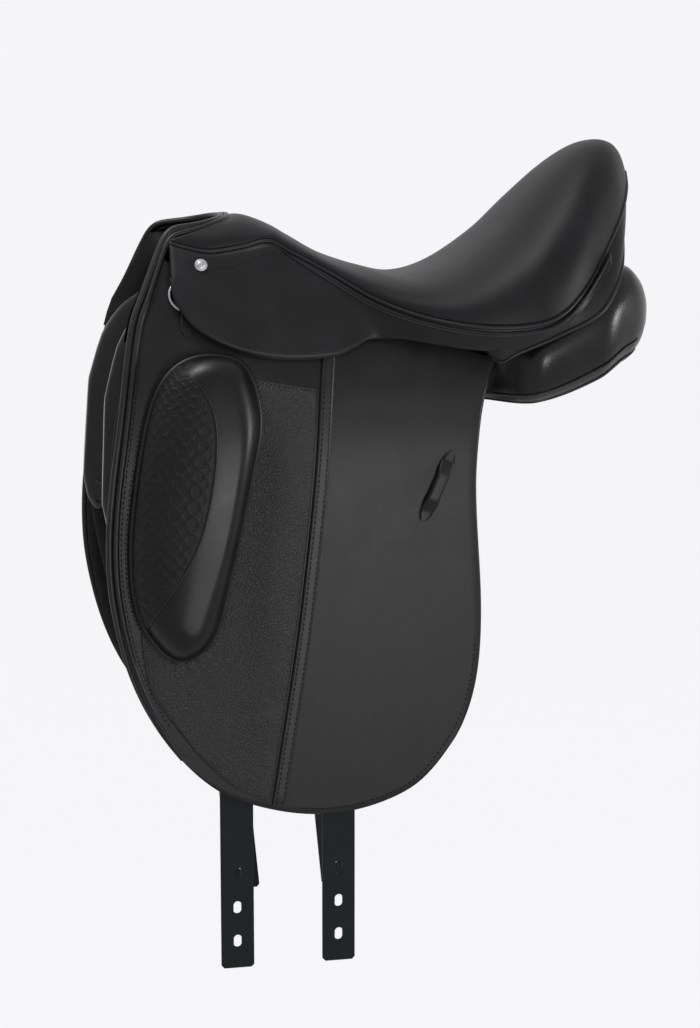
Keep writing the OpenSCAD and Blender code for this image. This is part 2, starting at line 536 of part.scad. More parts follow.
// Lining over the gullet, between the tops of the panels
module gullet_lining() color([0.14, 0.14, 0.14]) {
    n = 14;
    G = [for (j = [0 : 6]) [for (i = [0 : n]) let (x = LINING[0][0] + (LINING[6][0] - LINING[0][0]) * i / n,
        s = 1 - j / 3, w = value([for (p = LINING) [p[0], p[2]]], x))
        [x, s * w, value([for (p = LINING) [p[0], p[1]]], x) - 5 * s * s]]];
    slab(G, raised(G, -web_t));
}
module sweat_flap() lay_sheet(patch(SWEAT_TOP, SWEAT_FOOT, SWEAT_FRONT, SWEAT_REAR, 8, 10), sweat_out, sweat_in);
module near_sweat_flap() color([0.09, 0.09, 0.09]) sweat_flap();
module off_sweat_flap() color([0.09, 0.09, 0.09]) off() sweat_flap();

// Upper part of the flap, which stays on the tree
module flap_head() lay_sheet(patch([for (p = HEAD_TOP) p + [0, seat_gap]], [for (p = FLAP_FOLD) p + [0, seat_gap]],
    [for (p = HEAD_FRONT) p + [0, seat_gap]], [for (p = HEAD_REAR) p + [0, seat_gap]], 14, 4), 0, -flap_t);
module near_flap_head() color([0.12, 0.12, 0.12]) flap_head();
module off_flap_head() color([0.12, 0.12, 0.12]) off() flap_head();
// Lower part of the flap, which lifts
module flap() lay_sheet(patch(FLAP_FOLD, FLAP_FOOT, FLAP_FRONT, FLAP_REAR, 12, 14), 0, -flap_t);
module near_flap() color([0.12, 0.12, 0.12]) flap();
module off_flap() color([0.12, 0.12, 0.12]) off() flap();
module flap_grain() lay_sheet(patch(GRAIN_TOP, GRAIN_FOOT, GRAIN_FRONT, GRAIN_REAR, 7, 12),
    layer_gap + grain_t, layer_gap);
module near_flap_grain() color([0.15, 0.15, 0.15]) flap_grain();
module off_flap_grain() color([0.15, 0.15, 0.15]) off() flap_grain();
module flap_strip() {
    G = [for (j = [0 : 14]) let (p = along(STRIP_LINE, j / 14)) [p, p + [strip_w, 0]]];
    lay_sheet(G, layer_gap + grain_t, layer_gap);
}
module near_flap_strip() color([0.09, 0.09, 0.09]) flap_strip();
module off_flap_strip() color([0.09, 0.09, 0.09]) off() flap_strip();

// Thigh block: rings that rise from its foot and close towards its ridge
block_foot = 2 * layer_gap + grain_t;
function block_point(u, v) = let (f = round_curve(BLOCK_FOOT, u), fall = clamp01((-40 - f[1]) / 225),
    r = along(BLOCK_RIDGE, fall)) on_lay(r + (f - r) * (1 - 0.86 * v * v), block_foot + block_rise * sin(90 * v));
function block_sole(u, k) = let (f = round_curve(BLOCK_FOOT, u), fall = clamp01((-40 - f[1]) / 225),
    r = along(BLOCK_RIDGE, fall)) on_lay(r + (f - r) * k, block_foot);
module block() {
    m = 30;
    sole = [for (k = [0.7, 0.3]) [for (i = [0 : m - 1]) block_sole(i / m, k)]];
    dome = [for (v = [1, 0.88, 0.72, 0.54, 0.36, 0.18, 0]) [for (i = [0 : m - 1]) block_point(i / m, v)]];
    loft(concat(dome, sole));
}
module near_block() color([0.1, 0.1, 0.1]) block();
module off_block() color([0.1, 0.1, 0.1]) off() block();
// Inlay on the front slope of the block, up to a seam that bows towards the ridge
inlay_from = 0.14;
inlay_gap = 1.5 * layer_gap;
function inlay_seam(u) = 0.96 - 0.55 * pow((u - 0.19) / 0.2, 4);
module block_inlay() {
    G = [for (j = [0 : 5]) [for (i = [0 : 12]) let (u = 0.4 - 0.345 * i / 12)
        block_point(u, inlay_from + (inlay_seam(u) - inlay_from) * j / 5)]];
    slab(raised(G, inlay_gap + inlay_t), raised(G, inlay_gap));
}
module near_block_inlay() color([0.08, 0.08, 0.08]) block_inlay();
module off_block_inlay() color([0.08, 0.08, 0.08]) off() block_inlay();

// Keeper for the end of the stirrup leather: a strap sewn at both ends and raised between them
module keeper() {
    flat = 14;
    ramp = 8;
    l = keeper_l / 2;
    top = keeper_rise + keeper_t;
    at = on_lay(KEEPER_AT, seat_gap);
    translate(at) rotate([0, keeper_lean, 0]) rotate([0, 0, 90]) rotate([90, 0, 0])
        translate([0, 0, -keeper_w / 2]) linear_extrude(keeper_w) polygon([[0, -l], [-keeper_t, -l],
            [-keeper_t, flat - l], [-top, flat + ramp - l], [-top, l - flat - ramp], [-keeper_t, l - flat],
            [-keeper_t, l], [0, l], [0, l - flat], [-keeper_rise, l - flat - ramp],
            [-keeper_rise, flat + ramp - l], [0, flat - l]]);
}
module near_keeper() color([0.09, 0.09, 0.09]) keeper();
module off_keeper() color([0.09, 0.09, 0.09]) off() keeper();

tree_head();
near_tree_point();
off_tree_point();
near_tree_rail();
off_tree_rail();
tree_cantle();
head_plate();
spring_steels();
seat_webbing();
seat_foam();
seat_cover();
seat_welt();
pommel_binding();
cantle_facing();
near_skirt_band();
off_skirt_band();
head_nails();
near_dee_chape();
off_dee_chape();
near_stirrup_bar();
off_stirrup_bar();
stirrup_bar_rivets();
catch_pins();
near_girth_webs();
off_girth_webs();
near_panel();
off_panel();
gullet_lining();
near_sweat_flap();
off_sweat_flap();
near_flap_head();
off_flap_head();
near_flap();
off_flap();
near_flap_grain();
off_flap_grain();
near_flap_strip();
off_flap_strip();
near_block();
off_block();
near_block_inlay();
off_block_inlay();
near_keeper();
off_keeper();
near_skirt();
off_skirt();
near_front_billet();
near_rear_billet();
off_front_billet();
off_rear_billet();
near_dee();
off_dee();
near_bar_catch();
off_bar_catch();
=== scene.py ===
"""Black dressage saddle: leather, stuffing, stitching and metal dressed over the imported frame.

Sizes are in millimetres in the saddle's own frame: +X to the cantle, +Y to the off side, +Z up.
"""
import logging
import math
from dataclasses import dataclass
from enum import Enum
from typing import Any, Sequence

import bmesh
import bpy
import numpy as np
from mathutils import Matrix, Vector


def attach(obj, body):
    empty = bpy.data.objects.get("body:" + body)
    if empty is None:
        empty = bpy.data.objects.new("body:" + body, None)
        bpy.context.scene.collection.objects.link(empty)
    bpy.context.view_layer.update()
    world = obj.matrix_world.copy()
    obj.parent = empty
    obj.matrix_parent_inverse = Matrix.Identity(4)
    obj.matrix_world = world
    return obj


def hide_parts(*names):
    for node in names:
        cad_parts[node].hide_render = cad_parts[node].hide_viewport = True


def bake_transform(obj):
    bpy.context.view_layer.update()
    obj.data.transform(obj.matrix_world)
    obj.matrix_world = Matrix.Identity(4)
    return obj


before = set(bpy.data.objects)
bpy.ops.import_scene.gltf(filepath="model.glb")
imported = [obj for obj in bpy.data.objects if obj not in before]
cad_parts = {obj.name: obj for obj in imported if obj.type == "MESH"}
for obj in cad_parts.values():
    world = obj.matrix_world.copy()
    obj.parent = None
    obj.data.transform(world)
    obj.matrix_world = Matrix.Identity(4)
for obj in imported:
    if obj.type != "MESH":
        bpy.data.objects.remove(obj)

LOG = logging.getLogger("saddle")
MM = 0.001
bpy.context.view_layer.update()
Points = np.ndarray
SADDLE = "saddle"
MIRROR = np.array([1, -1, 1])
THIN_RIM = 0.22
RIM_SHARES = (0, 0.12, 0.45, 1.0)


class Side(Enum):
    """The two sides of a saddle."""

    NEAR = "near"
    OFF = "off"

    def named(self, piece: str) -> str:
        """Name of this side's piece or body."""
        return f"{self.value}_{piece}"

    @property
    def mirror(self) -> Points:
        """Factors that carry a near side point to this side."""
        return MIRROR if self is Side.OFF else np.ones(3)


# Curves


def unit(vectors: Points) -> Points:
    """Vectors scaled to length 1."""
    return vectors / np.maximum(np.linalg.norm(vectors, axis=-1, keepdims=True), 1e-12)


def smooth(share: Points) -> Points:
    """Smooth step from 0 to 1."""
    s = np.clip(share, 0, 1)
    return s * s * (3 - 2 * s)


def hermite(a: Points, b: Points, m: Points, n: Points, s: Points) -> Points:
    """Cubic from a to b with end slopes m and n."""
    return (a * (2 * s**3 - 3 * s**2 + 1) + m * (s**3 - 2 * s**2 + s)
            + b * (3 * s**2 - 2 * s**3) + n * (s**3 - s**2))


class Curve:
    """Smooth curve through control points, measured along its length."""

    def __init__(self, points: Sequence[Sequence[float]]) -> None:
        """Keeps the points, their distances along the curve and their slopes.

        Args:
            points: control points in order.
        """
        self.points = np.array(points, float)
        steps = np.linalg.norm(np.diff(self.points, axis=0), axis=1)
        self.runs = np.concatenate([[0.0], np.cumsum(steps)])
        places = np.arange(len(self.points))
        before = np.maximum(places - 1, 0)
        after = np.minimum(places + 1, len(places) - 1)
        spans = self.runs[after] - self.runs[before]
        self.slopes = (self.points[after] - self.points[before]) / spans[:, None]

    @property
    def length(self) -> float:
        """Length of the control polygon."""
        return float(self.runs[-1])

    def at(self, u: Points | float) -> Points:
        """Points on the curve.

        Args:
            u: shares of its length.

        Returns:
            One point for each share.
        """
        d = np.clip(np.asarray(u, float), 0, 1) * self.length
        i = np.clip(np.searchsorted(self.runs, d) - 1, 0, len(self.points) - 2)
        h = (self.runs[i + 1] - self.runs[i])[..., None]
        s = (d - self.runs[i])[..., None] / h
        return hermite(self.points[i], self.points[i + 1], self.slopes[i] * h, self.slopes[i + 1] * h, s)

    def part(self, first: int, last: int) -> "Curve":
        """The stretch between two control points, turned round if the first comes later.

        Args:
            first: number of the control point that it starts from.
            last: number of the one that it ends at.

        Returns:
            The stretch, with the slopes of the whole curve.
        """
        low, high = sorted((first, last))
        cut = Curve(self.points[low:high + 1])
        cut.slopes = self.slopes[low:high + 1]
        if first > last:
            cut = Curve(cut.points[::-1])
            cut.slopes = -self.slopes[low:high + 1][::-1]
        return cut


def paced(points: Points, u: Points) -> Points:
    """Points on a curve that takes one equal step of u for each control point.

    Args:
        points: control points, or rows of them.
        u: shares of all the steps.

    Returns:
        One point or row for each share.
    """
    last = len(points) - 1
    f = np.clip(np.asarray(u, float), 0, 1) * last
    i = np.minimum(f.astype(int), last - 1)
    s = (f - i).reshape(f.shape + (1,) * (points.ndim - 1))
    before = points[np.maximum(i - 1, 0)]
    after = points[np.minimum(i + 2, last)]
    return hermite(points[i], points[i + 1], (points[i + 1] - before) / 2, (after - points[i]) / 2, s)


def ring_curve(points: Points, u: Points) -> Points:
    """Points on a closed smooth curve through the control points.

    Args:
        points: control points in order.
        u: shares of one round.

    Returns:
        One point for each share.
    """
    n = len(points)
    f = (np.asarray(u, float) % 1.0) * n
    i = np.minimum(f.astype(int), n - 1)
    s = (f - i)[..., None]
    a, b, c, d = (points[(i + k) % n] for k in (-1, 0, 1, 2))
    return hermite(b, c, (c - a) / 2, (d - b) / 2, s)


def table(rows: Points, u: Points) -> Points:
    """Smooth value that never overshoots the rows it runs through.

    Args:
        rows: rows of [key, value], keys rising.
        u: keys to look up.

    Returns:
        One value for each key.
    """
    keys, values = rows[:, 0], rows[:, 1]
    secants = np.diff(values) / np.diff(keys)
    slopes = np.concatenate([secants[:1], np.zeros(len(keys) - 2), secants[-1:]])
    same = secants[:-1] * secants[1:] > 0
    both = np.where(same, secants[:-1] + secants[1:], 1.0)
    slopes[1:-1] = np.where(same, 2 * secants[:-1] * secants[1:] / both, 0.0)
    u = np.clip(np.asarray(u, float), keys[0], keys[-1])
    i = np.clip(np.searchsorted(keys, u) - 1, 0, len(keys) - 2)
    h = keys[i + 1] - keys[i]
    return hermite(values[i], values[i + 1], slopes[i] * h, slopes[i + 1] * h, (u - keys[i]) / h)


class Lay:
    """The curved face that the flaps lie on, on the near side."""

    ROWS = np.array([[-640, 118], [-160, 118], [-110, 116.5], [-60, 110.5], [-20, 101], [20, 87], [60, 71],
                     [110, 54]], float)

    @classmethod
    def slope(cls, z: Points) -> Points:
        """Change of the half width with height."""
        return table(cls.ROWS, z + 0.5) - table(cls.ROWS, z - 0.5)

    @classmethod
    def place(cls, p: Points, lift: Points | float) -> Points:
        """Points that lie at [x, z] and stand off the flap's outer face.

        Args:
            p: array of [x, z].
            lift: distance outwards from the flap's outer face.

        Returns:
            Array of [x, y, z].
        """
        p = np.asarray(p, float)
        m = cls.slope(p[..., 1])
        c = 1 / np.sqrt(1 + m * m)
        y = -table(cls.ROWS, p[..., 1]) - lift * c
        return np.stack([p[..., 0], y, p[..., 1] - lift * m * c], axis=-1)

    @classmethod
    def normal(cls, p: Points) -> Points:
        """Outward directions of the face.

        Args:
            p: array of [x, z].

        Returns:
            Array of unit vectors.
        """
        m = cls.slope(np.asarray(p, float)[..., 1])
        c = 1 / np.sqrt(1 + m * m)
        return np.stack([np.zeros_like(m), -c, -m * c], axis=-1)


# Meshes


@dataclass
class Shape:
    """Points and faces of one piece on the near side or across the middle."""

    points: Points
    faces: list[tuple[int, ...]]

    def joined(self, *others: "Shape") -> "Shape":
        """This shape and others as one.

        Args:
            others: shapes to add.

        Returns:
            One shape.
        """
        points, faces = [self.points], list(self.faces)
        count = len(self.points)
        for other in others:
            faces += [tuple(k + count for k in f) for f in other.faces]
            points.append(other.points)
            count += len(other.points)
        return Shape(np.concatenate(points), faces)

    def on(self, side: Side) -> "Shape":
        """This near side shape, or its mirror image.

        Args:
            side: the side that it is for.

        Returns:
            The shape on that side.
        """
        if side is Side.NEAR:
            return self
        return Shape(self.points * MIRROR, [tuple(reversed(f)) for f in self.faces])

    def piece(self, name: str, finish: "Finish") -> bpy.types.Object:
        """Makes a smooth shaded object of this shape.

        Args:
            name: the object's name.
            finish: its surface.

        Returns:
            The new object, in metres.
        """
        mesh = bpy.data.meshes.new(name)
        mesh.from_pydata((self.points * MM).tolist(), [], self.faces)
        work = bmesh.new()
        work.from_mesh(mesh)
        bmesh.ops.remove_doubles(work, verts=work.verts, dist=1e-6)
        bmesh.ops.recalc_face_normals(work, faces=work.faces)
        for face in work.faces:
            face.smooth = True
        work.to_mesh(mesh)
        work.free()
        obj = bpy.data.objects.new(name, mesh)
        bpy.context.scene.collection.objects.link(obj)
        mesh.materials.append(finish.material())
        LOG.info("%s: %d points", name, len(mesh.vertices))
        return obj


def normals(grid: Points) -> Points:
    """Unit normals of a grid of points.

    Args:
        grid: rows down and columns to the rear on the near side.

    Returns:
        Grid of outward directions.
    """
    down = np.gradient(grid, axis=0)
    rear = np.gradient(grid, axis=1)
    return unit(np.cross(down, rear))


def grid_faces(rows: int, columns: int, start: int = 0, flip: bool = False) -> list[tuple[int, ...]]:
    """Quads of a grid of points.

    Args:
        rows: number of rows.
        columns: number of columns.
        start: number of its first point.
        flip: turns the quads over.

    Returns:
        The quads.
    """
    quads = []
    for j in range(rows - 1):
        for i in range(columns - 1):
            a = start + j * columns + i
            quad = (a, a + 1, a + columns + 1, a + columns)
            quads.append(tuple(reversed(quad)) if flip else quad)
    return quads


def slab(outer: Points, inner: Points) -> Shape:
    """Closed sheet between two grids of points.

    Args:
        outer: its outer face.
        inner: its inner face.

    Returns:
        The sheet.
    """
    rows, columns = outer.shape[:2]
    count = rows * columns
    faces = grid_faces(rows, columns) + grid_faces(rows, columns, count, True)
    edge = (list(range(columns)) + [j * columns + columns - 1 for j in range(1, rows)]
            + [count - 1 - i for i in range(1, columns)] + [j * columns for j in range(rows - 2, 0, -1)])
    for a, b in zip(edge, edge[1:] + edge[:1]):
        faces.append((b, a, a + count, b + count))
    return Shape(np.concatenate([outer.reshape(-1, 3), inner.reshape(-1, 3)]), faces)


def rounding(u: Points, v: Points, width: float, height: float, radius: float) -> Points:
    """Share of the full thickness over a sheet whose rim is rounded.

    Args:
        u: shares across the sheet.
        v: shares down the sheet.
        width: size across.
        height: size down.
        radius: width of the rounded rim.

    Returns:
        Grid of shares, from a thin rim to 1.
    """
    across = np.minimum(u, 1 - u)[None, :] * width
    down = np.minimum(v, 1 - v)[:, None] * height
    near = np.clip(np.minimum(across, down) / radius, 0, 1)
    return np.maximum(np.sqrt(1 - (1 - near) ** 2), THIN_RIM)


def shares(count: int, length: float, radius: float) -> Points:
    """Shares from 0 to 1 that crowd at both ends, for a rounded rim.

    Args:
        count: number of shares between the rims.
        length: length that they divide.
        radius: width of the rim.

    Returns:
        The shares.
    """
    rim = np.array(RIM_SHARES) * radius / length
    middle = np.linspace(rim[-1], 1 - rim[-1], count)[1:-1]
    return np.concatenate([rim, middle, 1 - rim[::-1]])


def patch(top: Curve, foot: Curve, front: Curve, rear: Curve, u: Points, v: Points) -> Points:
    """Grid of points between four edge curves.

    Args:
        top: upper edge, to the rear.
        foot: lower edge, to the rear.
        front: front edge, down.
        rear: rear edge, down.
        u: shares to the rear.
        v: shares down.

    Returns:
        Grid with rows down and columns to the rear.
    """
    us, vs = u[None, :, None], v[:, None, None]
    a, b = front.at(v)[:, None], rear.at(v)[:, None]
    c, d = top.at(u)[None], foot.at(u)[None]
    corners = ((1 - us) * (1 - vs) * front.points[0] + us * (1 - vs) * rear.points[0]
               + (1 - us) * vs * front.points[-1] + us * vs * rear.points[-1])
    return (1 - vs) * c + vs * d + (1 - us) * a + us * b - corners


def tube(path: Points, radius: Points | float, sides: int = 10, closed: bool = False) -> Shape:
    """Round roll along a path.

    Args:
        path: points along its middle.
        radius: one radius, or one for each point.
        sides: sides of its section.
        closed: joins its ends.

    Returns:
        A closed shape.
    """
    n = len(path)
    if closed:
        run = np.roll(path, -1, 0) - np.roll(path, 1, 0)
    else:
        run = np.gradient(path, axis=0)
    run = unit(run)
    across = np.zeros_like(path)
    across[0] = unit(np.cross(run[0], [0.1, 0.3, 1.0]))
    for k in range(1, n):
        across[k] = unit(across[k - 1] - run[k] * (across[k - 1] @ run[k]))
    up = np.cross(across, run)
    turn = np.linspace(0, 2 * np.pi, sides, endpoint=False)
    size = np.broadcast_to(np.asarray(radius, float), n)[:, None, None]
    rings = path[:, None] + size * (np.cos(turn)[None, :, None] * across[:, None]
                                    + np.sin(turn)[None, :, None] * up[:, None])
    faces = []
    for j in range(n if closed else n - 1):
        for i in range(sides):
            a, b = j * sides + i, j * sides + (i + 1) % sides
            c, d = ((j + 1) % n) * sides + (i + 1) % sides, ((j + 1) % n) * sides + i
            faces.append((a, b, c, d))
    if not closed:
        faces += [tuple(range(sides)), tuple(reversed(range((n - 1) * sides, n * sides)))]
    return Shape(rings.reshape(-1, 3), faces)


def loft(rings: Points) -> Shape:
    """Closed shape through rings of points, laced across at each end.

    Args:
        rings: grid with a row for each ring.

    Returns:
        The shape.
    """
    n, m = rings.shape[:2]
    faces = []
    for j in range(n - 1):
        for i in range(m):
            a, b = j * m + i, j * m + (i + 1) % m
            faces.append((a, b, b + m, a + m))
    for start in (0, (n - 1) * m):
        for i in range(m // 2):
            quad = list(dict.fromkeys(start + k % m for k in (i, i + 1, m - i - 1, m - i)))
            if len(quad) > 2:
                faces.append(tuple(quad))
    return Shape(rings.reshape(-1, 3), faces)


@dataclass(frozen=True)
class Thread:
    """Sewing thread: the size of one stitch and the space to the next."""

    stitch: float = 3.4
    space: float = 1.5
    radius: float = 0.55
    sides: int = 5
    proud: float = 0.35
    rings: tuple[tuple[float, float], ...] = ((0.18, 0.8), (0.5, 1.0), (0.82, 0.8))

    def seam(self, path: Points, out: Points) -> Shape:
        """Row of stitches along a path.

        Args:
            path: points of the seam on the leather's face.
            out: outward directions there.

        Returns:
            All stitches as one shape.
        """
        runs = np.concatenate([[0], np.cumsum(np.linalg.norm(np.diff(path, axis=0), axis=1))])
        count = max(1, int(runs[-1] / (self.stitch + self.space)))
        middles = (np.arange(count) + 0.5) * runs[-1] / count
        heads, tails = (np.stack([np.interp(middles + d, runs, path[:, k]) for k in range(3)], 1)
                        for d in (-self.stitch / 2, self.stitch / 2))
        lift = unit(np.stack([np.interp(middles, runs, out[:, k]) for k in range(3)], 1))
        side = np.cross(unit(tails - heads), lift)
        turns = [2 * math.pi * k / self.sides for k in range(self.sides)]
        points, faces = [], []
        for k in range(count):
            first = len(points)
            points.append(heads[k])
            for share, fat in self.rings:
                middle = heads[k] + (tails[k] - heads[k]) * share + lift[k] * self.radius * self.proud
                points += [middle + fat * self.radius * (math.cos(turn) * side[k] + math.sin(turn) * lift[k])
                           for turn in turns]
            points.append(tails[k])
            faces += self.stitch_faces(first, len(points) - 1)
        return Shape(np.array(points), faces)

    def stitch_faces(self, first: int, last: int) -> list[tuple[int, ...]]:
        """Faces of one stitch between its two tips.

        Args:
            first: number of its first tip.
            last: number of its other tip.

        Returns:
            The faces.
        """
        n = self.sides
        faces = []
        for turn in range(n):
            after = (turn + 1) % n
            faces.append((first, first + 1 + after, first + 1 + turn))
            for ring in (1, 1 + n):
                a, b = first + ring + turn, first + ring + after
                faces.append((a, b, b + n, a + n))
            faces.append((last, last - n + turn, last - n + after))
        return faces


def lay_seam(thread: Thread, line: Points, lift: float) -> Shape:
    """Row of stitches along [x, z] on the flap's face."""
    return thread.seam(Lay.place(line, lift), Lay.normal(line))


def inset(line: Points, by: float) -> Points:
    """An [x, z] line moved sideways, to the left of its run as seen from the near side."""
    run = unit(np.gradient(line, axis=0))
    return line + by * np.stack([-run[:, 1], run[:, 0]], axis=1)


def even(curve: Curve, count: int = 60, start: float = 0.0, end: float = 1.0) -> Points:
    """Evenly spaced points on a curve."""
    return curve.at(np.linspace(start, end, count))


# Shader maths


class Value:
    """A shader socket that adds Math nodes when it is used in an expression."""

    def __init__(self, board: "Board", socket: bpy.types.NodeSocket) -> None:
        """Wraps one output socket of a board's node."""
        self.board = board
        self.socket = socket

    def maths(self, operation: str, other: "Value | float", swapped: bool = False) -> "Value":
        """Adds one Math node.

        Args:
            operation: the node's operation.
            other: the second operand.
            swapped: puts the other operand first.

        Returns:
            The node's result.
        """
        pair = (other, self) if swapped else (self, other)
        return self.board.node("ShaderNodeMath", {"operation": operation}, {0: pair[0], 1: pair[1]})

    def __add__(self, other: "Value | float") -> "Value":
        """Sum."""
        return self.maths("ADD", other)

    __radd__ = __add__

    def __sub__(self, other: "Value | float") -> "Value":
        """Difference."""
        return self.maths("SUBTRACT", other)

    def __rsub__(self, other: "Value | float") -> "Value":
        """Difference from a number."""
        return self.maths("SUBTRACT", other, True)

    def __mul__(self, other: "Value | float") -> "Value":
        """Product."""
        return self.maths("MULTIPLY", other)

    __rmul__ = __mul__

    def __pow__(self, other: "Value | float") -> "Value":
        """Power."""
        return self.maths("POWER", other)

    def __rpow__(self, other: "Value | float") -> "Value":
        """Power of a number."""
        return self.maths("POWER", other, True)


class Board:
    """The node tree of one material or world."""

    RAYS = ("Is Camera Ray", "Is Glossy Ray", "Is Transmission Ray")

    def __init__(self, owner: bpy.types.Material | bpy.types.World, output: str) -> None:
        """Empties the owner's tree and adds an output.

        Args:
            owner: the material or world.
            output: the type of its output node.
        """
        self.material = owner
        owner.use_nodes = True
        self.tree = owner.node_tree
        self.tree.nodes.clear()
        self.output = self.tree.nodes.new(output)

    def seen(self) -> Value:
        """1 for rays of the camera, of mirrors and of glass, else 0."""
        camera, mirror, glass = (self.node("ShaderNodeLightPath", out=ray) for ray in self.RAYS)
        return self.range(camera + mirror + glass, 0, 1)

    def surface(self, shader: Value) -> None:
        """Connects a shader to the output."""
        self.tree.links.new(shader.socket, self.output.inputs["Surface"])

    def node(self, kind: str, settings: dict[str, Any] | None = None, inputs: dict[Any, Any] | None = None,
             out: str | int = 0) -> Value:
        """Adds any node.

        Args:
            kind: the node's type.
            settings: attributes, set first.
            inputs: values or links of its sockets, by name or number.
            out: the output to return.

        Returns:
            One output of the node.
        """
        made = self.tree.nodes.new(kind)
        for key, setting in (settings or {}).items():
            setattr(made, key, setting)
        for key, given in (inputs or {}).items():
            if isinstance(given, Value):
                self.tree.links.new(given.socket, made.inputs[key])
            else:
                made.inputs[key].default_value = given
        return Value(self, made.outputs[out])

    def place(self, scale: float = 1.0) -> Value:
        """Position on the object in millimetres, times a scale."""
        spot = self.node("ShaderNodeTexCoord", out="Object")
        return self.node("ShaderNodeVectorMath", {"operation": "SCALE"}, {0: spot, "Scale": scale / MM})

    def noise(self, size: float, detail: float = 3.0, rough: float = 0.5) -> Value:
        """Cloudy value from 0 to 1 whose blotches are about size millimetres."""
        return self.node("ShaderNodeTexNoise", None,
                         {"Vector": self.place(1 / size), "Scale": 1.0, "Detail": detail, "Roughness": rough})

    def cells(self, size: float) -> Value:
        """Distance from the edges of cells of about size millimetres."""
        return self.node("ShaderNodeTexVoronoi", {"feature": "DISTANCE_TO_EDGE"},
                         {"Vector": self.place(1 / size), "Scale": 1.0, "Randomness": 1.0}, "Distance")

    def range(self, value: Value, low: float, high: float) -> Value:
        """Value that runs from 0 at low to 1 at high and stays there."""
        return self.node("ShaderNodeMapRange", {"clamp": True},
                         {"Value": value, "From Min": low, "From Max": high})

    def mix(self, share: Value, first: Sequence[float], second: Sequence[float]) -> Value:
        """Colour between two colours."""
        return self.node("ShaderNodeMix", {"data_type": "RGBA"},
                         {"Factor": share, 6: (*first, 1.0), 7: (*second, 1.0)}, 2)

    def bump(self, height: Value, depth: float, strength: float = 1.0) -> Value:
        """Normal from a height, with its depth in millimetres."""
        return self.node("ShaderNodeBump", None,
                         {"Height": height, "Distance": depth * MM, "Strength": strength})

    def finish(self, constants: dict[str, Any], varying: dict[str, Value]) -> bpy.types.Material:
        """Adds the surface shader and connects it.

        Args:
            constants: plain values of its sockets.
            varying: links of its sockets.

        Returns:
            The material.
        """
        self.surface(self.node("ShaderNodeBsdfPrincipled", None, {**constants, **varying}))
        return self.material


@dataclass(frozen=True)
class Finish:
    """A surface: its name and its colour."""

    name: str
    colour: tuple[float, float, float]

    def material(self) -> bpy.types.Material:
        """The material, made once."""
        found = bpy.data.materials.get(self.name)
        return found or self.make(Board(bpy.data.materials.new(self.name), "ShaderNodeOutputMaterial"))

    def shade(self, share: float) -> tuple[float, ...]:
        """This colour, darker or lighter."""
        return tuple(share * c for c in self.colour)

    def make(self, board: Board) -> bpy.types.Material:
        """Builds the nodes of this finish on a board."""
        raise NotImplementedError


@dataclass(frozen=True)
class Leather(Finish):
    """Dyed leather with grain, fine creases and a soft polish."""

    rough: float = 0.45
    grain: float = 1.1
    depth: float = 0.05
    pebble: float = 0.0
    shine: float = 0.2

    def make(self, board: Board) -> bpy.types.Material:
        """Grain cells, pores and cloudy polish.

        Args:
            board: the empty tree of its material.

        Returns:
            The material.
        """
        cells = board.range(board.cells(self.grain), 0.0, 0.35)
        fine = board.noise(self.grain * 0.45, 4.0, 0.6)
        clouds = board.noise(38.0, 4.0, 0.55)
        height = cells * 0.7 + fine * 0.5
        if self.pebble:
            lumps = board.range(board.cells(self.pebble), 0.0, 0.42) ** 0.6
            height = lumps * 1.6 + height * 0.35
        colour = board.mix(board.range(clouds, 0.3, 0.7), self.shade(0.8), self.shade(1.22))
        rough = clouds * 0.14 + (1.0 - cells) * 0.1 + (self.rough - 0.09)
        return board.finish({"Specular IOR Level": self.shine},
                            {"Base Color": colour, "Roughness": rough,
                             "Normal": board.bump(height, self.depth, 0.9)})


@dataclass(frozen=True)
class ThreadFinish(Finish):
    """Waxed thread."""

    def make(self, board: Board) -> bpy.types.Material:
        """Fine mottling of the twisted yarn.

        Args:
            board: the empty tree of its material.

        Returns:
            The material.
        """
        twist = board.noise(0.6, 2.0)
        return board.finish({"Specular IOR Level": 0.15},
                            {"Base Color": board.mix(twist, self.shade(0.6), self.colour),
                             "Roughness": twist * 0.2 + 0.5, "Normal": board.bump(twist, 0.08)})


@dataclass(frozen=True)
class Metal(Finish):
    """Plated or ground metal."""

    rough: float = 0.2
    scratch: float = 0.1

    def make(self, board: Board) -> bpy.types.Material:
        """Fine scratches and cloudy polish.

        Args:
            board: the empty tree of its material.

        Returns:
            The material.
        """
        lines = board.noise(0.8, 5.0, 0.7)
        clouds = board.noise(9.0, 3.0)
        return board.finish({"Metallic": 1.0},
                            {"Base Color": board.mix(clouds, self.shade(0.82), self.colour),
                             "Roughness": lines * self.scratch + clouds * 0.08 + (self.rough - 0.06),
                             "Normal": board.bump(lines, 0.01)})


@dataclass(frozen=True)
class Wood(Finish):
    """Laminated beech of the tree."""

    def make(self, board: Board) -> bpy.types.Material:
        """Long grain with darker pores.

        Args:
            board: the empty tree of its material.

        Returns:
            The material.
        """
        stretched = board.node("ShaderNodeVectorMath", {"operation": "MULTIPLY"},
                               {0: board.place(), 1: (0.05, 0.7, 0.7)})
        grain = board.node("ShaderNodeTexNoise", None, {"Vector": stretched, "Scale": 1.0, "Detail": 6.0})
        share = board.range(grain, 0.35, 0.68)
        return board.finish({"Specular IOR Level": 0.3},
                            {"Base Color": board.mix(share, self.shade(0.55), self.colour),
                             "Roughness": share * 0.15 + 0.5, "Normal": board.bump(grain, 0.12)})


